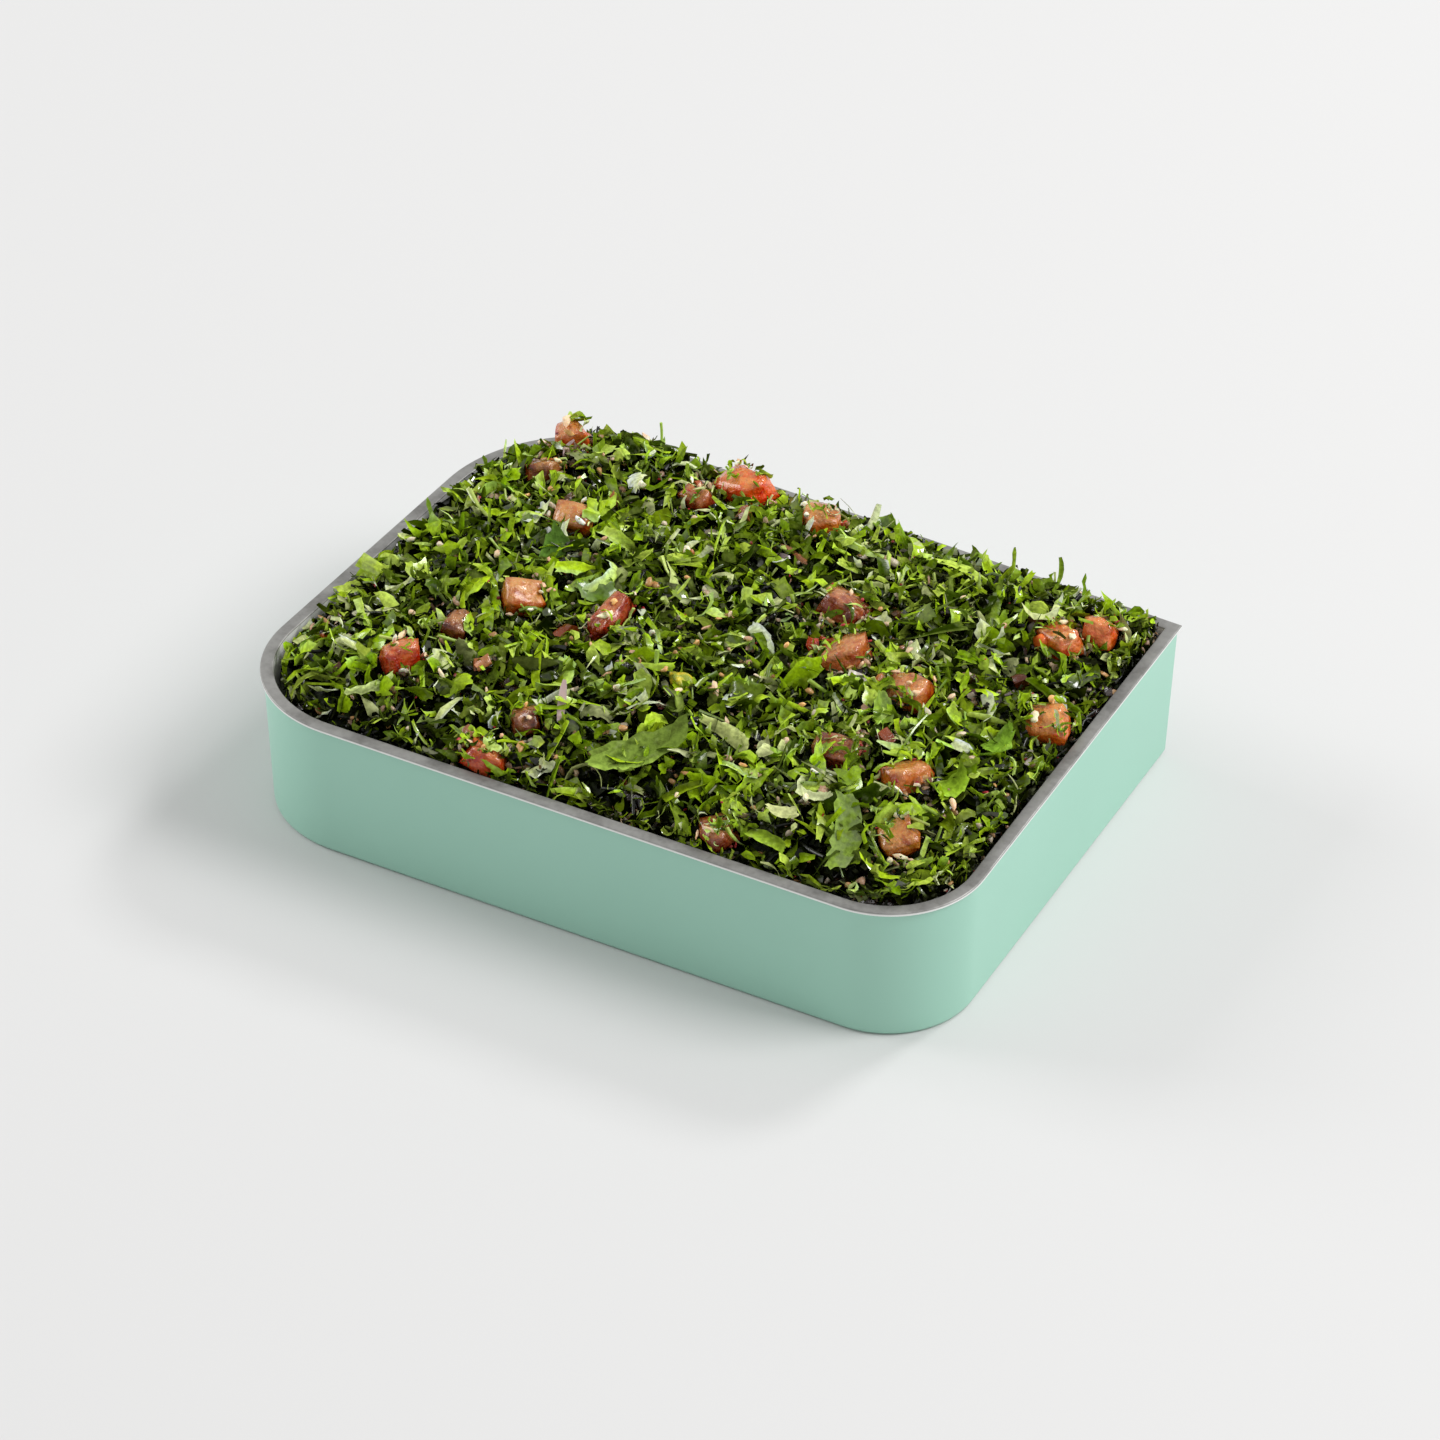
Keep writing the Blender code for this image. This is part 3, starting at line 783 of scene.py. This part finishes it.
# The main toss: each piece tries a few places, drawn more often where the heap is still low.
for turn, (name, i) in enumerate(order):
    i = int(i)
    if turn % 200 == 0:
        need = np.clip((target - heap)[tuple(open_cells.T)] + 1.0, 0.05, 8.0) ** 2
        pool = open_cells[draw.choice(len(open_cells), 4000, p=need / need.sum())]
        need = need * (clusters * (1 - wall_near))[tuple(open_cells.T)]
        clustered = open_cells[draw.choice(len(open_cells), 2000, p=need / need.sum())]
    if name in SPRINKLED_ON_DICE and draw.random() < SPRINKLED:
        sprinkled.append((name, i))
        continue
    short = name in ("shred", "cut") and kinds[name]["size"][i, 0] < ALONG_WALL_UNDER
    if short and draw.random() < ALONG_WALL:
        along_wall.append((name, i))
        continue
    choice = clustered if name in ("grain", "tomato_bit") else pool
    spots = choice[draw.integers(0, len(choice), TRIES)]
    centres = middles(spots) + draw.uniform(-0.5, 0.5, (TRIES, 2))
    toss(kinds[name], i, centres, spots, OVERSHOOT)
# Along the wall: short pieces turned to lie flat against it, which fill the gap that the toss leaves there.
outward_x, outward_y = np.gradient(spread(~inside_dish, 14))
by_edge = np.argwhere(inside_dish & (hard < 0) & (spread(~inside_dish, 3) > 0.01))
for turn, (name, i) in enumerate(along_wall):
    kind = kinds[name]
    if turn % 50 == 0:
        need = np.clip((target - heap)[tuple(by_edge.T)] + 0.5, 0.01, 8.0) ** 2
    spots = by_edge[draw.choice(len(by_edge), 1, p=need / need.sum())]
    across = math.atan2(outward_y[tuple(spots[0])], outward_x[tuple(spots[0])])
    now = math.atan2(kind["turns"][i][1, 0], kind["turns"][i][0, 0])
    swing = np.array(Matrix.Rotation(across + math.pi / 2 - now + draw.normal(0, 0.35), 3, "Z"))
    kind["turns"][i] = swing @ kind["turns"][i]
    kind["coarse"][i] = kind["coarse"][i] @ swing.T
    inward = -np.outer(np.arange(0, 5, 0.8), (math.cos(across), math.sin(across)))
    toss(kind, i, middles(spots) + inward, spots.repeat(len(inward), axis=0), OVERSHOOT)
# The pieces laid one by one, which may hang over any part of the rim.
hard = np.where((hard == FORBIDDEN) & (rim_map < FORBIDDEN), rim_map + 0.2, hard)
for kind in kinds.values():
    for i, row in enumerate(kind["last"]):
        centres = np.array([row[1]], float)
        toss(kind, i, centres, cells_at(centres), LAID_LIMIT, LAID_SINK)
surface = spread(np.where(inside_dish, heap, 0), 4) / np.maximum(spread(inside_dish, 4), 0.001)
# The rest, sprinkled over everything. The small ones mostly cling to the tomato.
heap = np.maximum(heap, np.where(hard < FORBIDDEN, hard, NOWHERE))
target = np.maximum(target, heap)
for name, i in sprinkled:
    small = kinds[name]["size"][i, 0] < SMALL_UNDER
    ground = on_dice if small and draw.random() < SPRINKLED_ON_DICE[name] else open_cells
    spots = ground[draw.integers(0, len(ground), 1)]
    toss(kinds[name], i, middles(spots) + draw.uniform(-0.5, 0.5, (1, 2)), spots, OVERSHOOT + 2)
# How far each piece lies under the smoothed surface of the salad, from which it takes its painted shade.
for kind in kinds.values():
    settled = ~np.isnan(kind["place"][:, 0])
    cells = tuple(cells_at(np.nan_to_num(kind["place"][:, :2])).T)
    tops = kind["place"][:, 2] + kind["coarse"][..., 2].max(axis=1)
    # Near the right wall pieces count as less deep, so they take less painted shade.
    less_shade_by_right_wall = 0.8 * wall_near[cells] * (kind["place"][:, 0] > 60)
    kind["depth"] = np.where(settled, surface[cells] - tops - less_shade_by_right_wall, 0)


def scatter(name, points, faces, colours, material, slot, oil=1.0):
    """One mesh of many like pieces, from points and colours (pieces x corners x 3) and one piece's faces."""
    count, corners = points.shape[:2]
    offsets = corners * np.arange(count)[:, None, None]
    mesh = bpy.data.meshes.new(name)
    all_faces = (faces + offsets).reshape(-1, faces.shape[1])
    mesh.from_pydata((points.reshape(-1, 3) * MM).tolist(), [], all_faces.tolist())
    tint = mesh.attributes.new("tint", "FLOAT_COLOR", "POINT")
    oil = np.ones((count, corners, 1)) * np.reshape(oil, (-1, 1, 1))
    tint.data.foreach_set("color", np.dstack([colours, oil]).ravel())
    mesh.materials.append(material)
    clear_selection()
    piece = bpy.data.objects.new(name, mesh)
    bpy.context.scene.collection.objects.link(piece)
    piece.select_set(True)
    bpy.context.view_layer.objects.active = piece
    bpy.ops.object.shade_smooth_by_angle(angle=SMOOTH_LEAF)
    give(piece, slot)


# Parsley: the chopped leaf that makes most of the salad, in three cuts: fine shreds, cut pieces with
# toothed edges and a few broad bits of whole leaf. Each is a thin, crinkled blade, paler underneath, and
# some are oily. Their colours carry painted light and shade, and patches of painted sheen.
GREENS = (
    # weight, colour
    (0.12, (0.017, 0.032, 0.001)),
    (0.18, (0.060, 0.104, 0.001)),
    (0.25, (0.148, 0.235, 0.003)),
    (0.22, (0.262, 0.378, 0.009)),
    (0.14, (0.380, 0.495, 0.055)),
    (0.09, (0.590, 0.640, 0.280)),
)
PALE_UNDERSIDE = (0.33, 0.42, 0.08)
PAINTED_SHEEN = (0.72, 0.80, 0.42)
BLADE_THICKNESS = 0.16
BRIGHTEST_GREEN = 0.76
PALER_PAST_BRIGHTEST = (0.03, 0.03, 0.20)
LAID_SHADE = 0.85
UNDERSIDE_SHARE = 0.45
EDGE_SHARE = 0.12
OILY = 0.25
THROUGH_LIGHT = 0.14


def blade_grid(along, across):
    """u, v and side of a blade's points, and its faces. Side is 1 on top, 0 on the edge and -1 underneath."""
    u, v, side = [], [], []
    index = {}
    for face in (1, -1):
        for i in range(along + 1):
            for j in range(across + 1):
                edge = i in (0, along) or j in (0, across)
                if face < 0 and edge:
                    index[face, i, j] = index[1, i, j]
                    continue
                index[face, i, j] = len(u)
                u.append(2 * i / along - 1)
                v.append(2 * j / across - 1)
                side.append(0 if edge else face)
    faces = []
    for i in range(along):
        for j in range(across):
            square = [(i, j), (i + 1, j), (i + 1, j + 1), (i, j + 1)]
            faces.append([index[(1, *corner)] for corner in square])
            faces.append([index[(-1, *corner)] for corner in reversed(square)])
    return np.array(u), np.array(v), np.array(side), np.array(faces)


def edge_line(draw, count, stations, ends, teeth):
    """How far out one side of each blade runs at its stations: cut off at the ends and toothed between."""
    s = np.linspace(-1, 1, stations)
    first, last = draw.uniform(*ends, (2, count, 1))
    belly = (1 - np.abs(s) ** 2.2) * draw.uniform(-0.1, 1, (count, 1))
    straight = first + (last - first) * (s + 1) / 2
    line = straight + (1 - straight) * belly
    tooth = draw.uniform(-teeth, teeth * 0.6, (count, stations))
    return np.clip(line + tooth, 0.06, 1.15)


def blades(kind, grid, ends, teeth, seed):
    """The points of all settled blades of a kind, and what scatter needs besides."""
    u, v, side, faces = grid
    draw = np.random.default_rng(seed)
    settled = ~np.isnan(kind["place"][:, 0])
    count = int(settled.sum())
    size = kind["size"][settled]
    form = {name: value[settled] for name, value in kind["form"].items()}
    stations = len(set(u.tolist()))
    column = np.rint((u + 1) / 2 * (stations - 1)).astype(int)
    left, right = (edge_line(draw, count, stations, ends, teeth) for _ in range(2))
    reach = np.where(v > 0, left[:, column], right[:, column])
    slant = draw.normal(0, 0.35, (count, 1)) * size[:, 1:]
    jitter = draw.normal(0, 0.06, (count, len(u)))
    x = u * size[:, :1] / 2 + slant * v * reach / 2 + jitter * size[:, 1:]
    y = v * reach * size[:, 1:] / 2
    z = side * BLADE_THICKNESS / 2 * np.ones((count, 1))
    shapes = bent(np.stack([x, y, z], axis=-1), form)
    points = turned(shapes, kind["turns"][settled]) + kind["place"][settled][:, None]
    return points, faces, kind["depth"][settled], kind["own"][settled], draw


def depth_shade_and_light(depth):
    """Painted light by depth: deeper pieces coloured darker as shade, those standing out lighter."""
    return np.clip(0.31 - depth / 1.8, 0.045, 1.5) ** 1.3


def green_tints(points, v, side, depth, own, draw):
    """A colour for every corner: each piece's green, uneven and paler underneath, with painted light and
    shade.
    """
    count = len(points)
    weights = np.array([weight for weight, colour in GREENS])
    chosen = draw.choice(len(GREENS), count, p=weights / weights.sum())
    base = np.array([colour for weight, colour in GREENS])[chosen] * np.exp(draw.normal(0, 0.30, (count, 1)))
    base = np.where(np.isnan(own), base, own)
    tints = base[:, None] * np.exp(draw.normal(0, 0.12, points.shape[:2]))[..., None]
    # Painted light: the cut edges are coloured a quarter lighter, and one side of each blade lit, the other
    # shaded.
    lit = draw.uniform(-0.2, 0.9, (count, 1)) * v * draw.choice((-1, 1), (count, 1))
    tints = tints * (1 + np.where(side == 0, 0.25, 0.0) + np.clip(lit, -0.4, 0.8))[..., None]
    under = np.where(side < 0, UNDERSIDE_SHARE, np.where(side == 0, EDGE_SHARE, 0.0))[:, None]
    paleness = np.exp(draw.normal(-0.5, 0.5, (count, 1, 1)))
    tints = tints * (1 - under) + np.array(PALE_UNDERSIDE) * under * paleness
    # Painted shade by depth; the pieces laid one by one take one fixed shade instead.
    shade = np.where(np.isnan(own[:, 0]), depth_shade_and_light(depth), LAID_SHADE)
    tints = tints * shade[:, None, None]
    # Pieces painted lighter than the brightest green are held there and paled toward white: a painted
    # highlight.
    over = np.clip(tints[..., 1:] / BRIGHTEST_GREEN, 1, None)[..., :1]
    return tints / over + (over - 1) * PALER_PAST_BRIGHTEST


oil_coat = {"Coat_IOR": 2.1, "Coat_Roughness": 0.16}
leaf, leaf_shader, leaf_place = finish("parsley_leaf", Roughness=0.45, Specular_IOR_Level=0.0, **oil_coat)
leaf_tint = leaf_place.node("ShaderNodeAttribute", {"attribute_name": "tint"})
oily = leaf_place.node("ShaderNodeAttribute", {"attribute_name": "tint"}, output=3)
mottle = 0.80 + leaf_place.noise(1.3 * MM, 3.0).between(0.34, 0.66) * 0.42
leaf_green = leaf_place.node("ShaderNodeVectorMath", {"operation": "SCALE"}, {0: leaf_tint, "Scale": mottle})
# Whitish patches mixed into the leaf colour are painted sheen, a painted reflection of the soft boxes.
bloom = leaf_place.noise(9.0 * MM, 2.0).between(0.48, 0.60)
painted_sheen = leaf_place.noise(2.2 * MM, 3.0).between(0.50, 0.68) * bloom
leaf_colour = (painted_sheen * 0.10).mix(leaf_green, PAINTED_SHEEN)
plug(leaf_colour, leaf_shader.inputs["Base Color"])
plug(oily * leaf_place.noise(4.0 * MM, 3.0).between(0.40, 0.54), leaf_shader.inputs["Coat Weight"])
bumped(leaf_place.noise(1.4 * MM, 3.0), leaf_shader, 0.35 * MM)
glow = leaf_place.node("ShaderNodeBsdfTranslucent", {}, {"Color": leaf_colour})
lit_leaf = Socket(leaf_shader.outputs[0])
mixed = leaf_place.node("ShaderNodeMixShader", {}, {0: THROUGH_LIGHT, 1: lit_leaf, 2: glow})
plug(mixed, leaf.node_tree.nodes["Material Output"].inputs["Surface"])

for name, grid, ends, teeth, seed in (
    ("shred", blade_grid(4, 2), (0.0, 1.0), 0.22, 61),
    ("cut", blade_grid(5, 2), (0.0, 1.1), 0.26, 62),
    ("broad", blade_grid(10, 6), (0.1, 1.0), 0.16, 63),
):
    points, faces, depth, own, draw = blades(kinds[name], grid, ends, teeth, seed)
    tints = green_tints(points, grid[1], grid[2], depth, own, draw)
    oil = draw.uniform(0.4, 1, len(points)) * (draw.random(len(points)) < OILY)
    oil = oil * np.clip(1 - depth / 2.2, 0, 1)
    scatter("parsley_" + name, points, faces, tints, leaf, "parsley", oil)


# Stems: short lengths of parsley stalk, round, pale green and a little bent, cut off square at both ends.
STEM_GREENS = ((0.10, 0.17, 0.015), (0.20, 0.29, 0.04), (0.34, 0.42, 0.10), (0.48, 0.52, 0.24))
STEM_SHARES = (0.3, 0.35, 0.25, 0.1)
SIDES = 6
LENGTHS = 4

angles = np.arange(SIDES) * 2 * np.pi / SIDES
rings = np.meshgrid(np.linspace(-1, 1, LENGTHS + 1), angles, indexing="ij")
ring_u, ring_a = (values.ravel() for values in rings)
faces = []
for k in range(LENGTHS):
    for j in range(SIDES):
        near, far = k * SIDES, (k + 1) * SIDES
        faces.append([near + j, near + (j + 1) % SIDES, far + (j + 1) % SIDES, far + j])
last = LENGTHS * SIDES
faces += [[3, 2, 1, 0], [5, 4, 3, 0]]
faces += [[last, last + 1, last + 2, last + 3], [last, last + 3, last + 4, last + 5]]
kind = kinds["stem"]
settled = ~np.isnan(kind["place"][:, 0])
size = kind["size"][settled]
draw = np.random.default_rng(71)
count = len(size)
thick = size[:, 1:] / 2 * (1 + draw.normal(0, 0.12, (count, LENGTHS + 1)).repeat(SIDES, axis=1))
thick = thick * (1 + 0.35 * draw.uniform(0, 1, (count, 1)) * ring_u)
y, z = thick * np.cos(ring_a), thick * np.sin(ring_a) * 0.8
round_points = np.stack([ring_u * size[:, :1] / 2, y, z], axis=-1)
form = {name: value[settled] for name, value in kind["form"].items()}
points = turned(bent(round_points, form), kind["turns"][settled]) + kind["place"][settled][:, None]
base = np.array(STEM_GREENS)[draw.choice(4, count, p=STEM_SHARES)]
base = np.where(np.isnan(kind["own"][settled]), base, kind["own"][settled])
# Painted shade: stems that lie deep are coloured darker.
shade = depth_shade_and_light(kind["depth"][settled])
tints = base[:, None] * shade[:, None, None] * np.exp(draw.normal(0, 0.12, points.shape[:2]))[..., None]
stalk, stalk_shader, stalk_place = finish("parsley_stalk", Roughness=0.35, Subsurface_Weight=0.15)
stalk_shader.inputs["Subsurface Radius"].default_value = (0.001, 0.001, 0.0004)
stalk_tint = stalk_place.node("ShaderNodeAttribute", {"attribute_name": "tint"})
plug(stalk_tint, stalk_shader.inputs["Base Color"])
bumped(stalk_place.noise(0.8 * MM, 2.0), stalk_shader, 0.15 * MM)
scatter("parsley_stems", points, np.array(faces), tints, stalk, "parsley")


# Bulgur: cracked wheat, soaked and swollen, in grains about two millimetres long. Each is blunt and dented,
# and creamy with a touch of pink from the tomato.
GRAIN_COLOURS = ((0.76, 0.46, 0.28), (0.86, 0.62, 0.40), (0.88, 0.74, 0.54), (0.66, 0.36, 0.13))


def lumps(kind, template, seed, dents, depths):
    """The points of all settled pieces of a kind as dented copies of one template shape of half size one."""
    settled = ~np.isnan(kind["place"][:, 0])
    size = kind["size"][settled]
    count = len(size)
    draw = np.random.default_rng(seed)
    shapes = np.repeat(template[None], count, axis=0)
    for _ in range(3):
        axis = draw.normal(0, 1, (count, 1, 3))
        axis /= np.linalg.norm(axis, axis=2, keepdims=True)
        swell = np.sin(2.2 * (shapes * axis).sum(axis=2) + draw.uniform(0, 6.28, (count, 1)))
        shapes = shapes * (1 + dents * swell[..., None])
    shapes = shapes * (1 + draw.normal(0, 0.4 * dents, shapes.shape[:2]))[..., None]
    thick = size[:, 1] * draw.uniform(*depths, count)
    shapes = shapes * (np.stack([size[:, 0], size[:, 1], thick], axis=1) / 2)[:, None]
    points = turned(shapes, kind["turns"][settled]) + kind["place"][settled][:, None]
    return points, kind["depth"][settled], draw


def ball(subdivisions):
    """The corners and faces of a ball modelled once, as a pattern for pieces made many times over."""
    clear_selection()
    bpy.ops.mesh.primitive_ico_sphere_add(subdivisions=subdivisions, radius=1)
    pattern = bpy.context.object
    corners = np.array([vertex.co for vertex in pattern.data.vertices])
    faces = np.array([list(face.vertices) for face in pattern.data.polygons])
    bpy.ops.object.delete()
    return corners, faces


pattern, faces = ball(2)
points, depth, draw = lumps(kinds["grain"], pattern, 81, 0.26, (0.6, 1.0))
base = np.array(GRAIN_COLOURS)[draw.integers(0, 4, len(points))]
base = base * np.exp(draw.normal(0, 0.1, (len(points), 1)))
# Painted shade: grains that lie deep are coloured darker.
tints = base[:, None] * (0.45 + 0.55 * depth_shade_and_light(depth))[:, None, None] * (1 + 0.12 * pattern[:, :1])
grain, grain_shader, grain_place = finish("bulgur_grain", Roughness=0.32, Subsurface_Weight=0.3)
grain_shader.inputs["Subsurface Radius"].default_value = (0.0016, 0.0009, 0.0005)
plug(grain_place.node("ShaderNodeAttribute", {"attribute_name": "tint"}), grain_shader.inputs["Base Color"])
bumped(grain_place.noise(0.7 * MM, 2.0), grain_shader, 0.2 * MM)
scatter("bulgur_grains", points, faces, np.clip(tints, 0, 1), grain, "bulgur")


# Tomato scraps: the small bits that come off when the tomatoes are diced. They are ragged and wet, and
# orange to dark red.
SCRAP_COLOURS = ((0.50, 0.09, 0.012), (0.42, 0.13, 0.035), (0.28, 0.030, 0.010), (0.52, 0.20, 0.07))

clear_selection()
bpy.ops.mesh.primitive_cube_add(size=2)
pattern_block = bpy.context.object
bpy.ops.object.mode_set(mode="EDIT")
bpy.ops.mesh.subdivide(number_cuts=1, smoothness=0.25)
bpy.ops.mesh.quads_convert_to_tris()
bpy.ops.object.mode_set(mode="OBJECT")
block = np.array([vertex.co for vertex in pattern_block.data.vertices])
block_faces = np.array([list(face.vertices) for face in pattern_block.data.polygons])
bpy.ops.object.delete()
points, depth, draw = lumps(kinds["tomato_bit"], block * 0.85, 82, 0.18, (0.6, 1.0))
base = np.array(SCRAP_COLOURS)[draw.integers(0, 4, len(points))]
base = base * np.exp(draw.normal(0, 0.15, (len(points), 1)))
# Painted shade: scraps that lie deep are coloured darker.
tints = base[:, None] * depth_shade_and_light(depth)[:, None, None] * (1 + 0.25 * block[:, :1])
wet_flesh = {"Subsurface_Weight": 0.25, "Coat_Weight": 0.3}
flesh, flesh_shader, flesh_place = finish("tomato_flesh", Roughness=0.22, **wet_flesh)
flesh_shader.inputs["Subsurface Radius"].default_value = (0.002, 0.0006, 0.0003)
plug(flesh_place.node("ShaderNodeAttribute", {"attribute_name": "tint"}), flesh_shader.inputs["Base Color"])
bumped(flesh_place.noise(1.0 * MM, 3.0), flesh_shader, 0.4 * MM)
scatter("tomato_scraps", points, block_faces, np.clip(tints, 0, 1), flesh, "tomato")


# Red flakes: crushed red pepper or sumac, strewn through the salad as flat crimson specks of about a
# millimetre, some of them stuck to the tomato.
FLAKE_COLOURS = ((0.30, 0.008, 0.012), (0.42, 0.02, 0.03), (0.20, 0.01, 0.01))

pattern, faces = ball(1)
points, depth, draw = lumps(kinds["flake"], pattern, 83, 0.15, (0.4, 0.8))
base = np.array(FLAKE_COLOURS)[draw.integers(0, 3, len(points))]
tints = np.repeat(base[:, None], points.shape[1], axis=1)
crimson, crimson_shader, crimson_place = finish("crimson_flake", Roughness=0.4)
crimson_tint = crimson_place.node("ShaderNodeAttribute", {"attribute_name": "tint"})
plug(crimson_tint, crimson_shader.inputs["Base Color"])
scatter("red_flakes", points, faces, tints, crimson, "tomato")


# Onion: thin slivers, curved as they come off the bulb. They are soft, a little see-through and whitish,
# with a purple-grey cast.
ONION_COLOURS = ((0.50, 0.44, 0.38), (0.42, 0.34, 0.32), (0.55, 0.52, 0.36), (0.34, 0.25, 0.26))

grid = blade_grid(5, 2)
points, faces, depth, own, draw = blades(kinds["onion"], grid, (0.2, 0.7), 0.08, 84)
base = np.array(ONION_COLOURS)[draw.integers(0, 4, len(points))]
base = np.where(np.isnan(own), base, own)
# Painted shade: slivers that lie deep are coloured darker.
tints = base[:, None] * depth_shade_and_light(depth)[:, None, None] * np.ones((1, points.shape[1], 1))
sliver, sliver_shader, sliver_place = finish("onion_sliver", Roughness=0.25, Subsurface_Weight=0.4)
sliver_shader.inputs["Subsurface Radius"].default_value = (0.002, 0.0016, 0.0014)
plug(sliver_place.node("ShaderNodeAttribute", {"attribute_name": "tint"}), sliver_shader.inputs["Base Color"])
scatter("onion_slivers", points, faces, tints, sliver, "onion")


# The yellow bit: one soft lump, yellow going to green, pressed into the top of the salad. It could be a
# scrap of lemon or of yellow pepper.
YELLOW_BIT = (4, -26)
YELLOW_SIZE = (7.5, 5.5, 4.5)
YELLOW = (0.80, 0.62, 0.03)
YELLOW_GREEN = (0.30, 0.36, 0.03)

clear_selection()
bpy.ops.mesh.primitive_ico_sphere_add(subdivisions=4, radius=1)
yellow_bit = bpy.context.object
yellow_bit.name = "yellow_bit"
corners = np.array([vertex.co for vertex in yellow_bit.data.vertices])
corners *= (1 + 0.16 * waves(corners[:, 0] + 0.6 * corners[:, 2], corners[:, 1], 1.3, seed=31))[:, None]
cell = tuple(cells_at(np.array(YELLOW_BIT)))
level = min(heap[cell], target[cell] + 1.0)
corners = corners * np.array(YELLOW_SIZE) / 2 + (*YELLOW_BIT, level)
yellow_bit.data.vertices.foreach_set("co", (corners * MM).ravel())
bpy.ops.object.shade_smooth_by_angle(angle=SMOOTH_LEAF)
pith, pith_shader, pith_place = finish("yellow_pith", Roughness=0.3, Subsurface_Weight=0.3)
pith_shader.inputs["Subsurface Radius"].default_value = (0.002, 0.0015, 0.0003)
greener = pith_place.noise(2.5 * MM, 3.0).between(0.35, 0.62)
plug(greener.mix(YELLOW, YELLOW_GREEN), pith_shader.inputs["Base Color"])
bumped(pith_place.noise(0.8 * MM, 3.0), pith_shader, 0.5 * MM)
yellow_bit.data.materials.append(pith)
give(yellow_bit, "parsley")
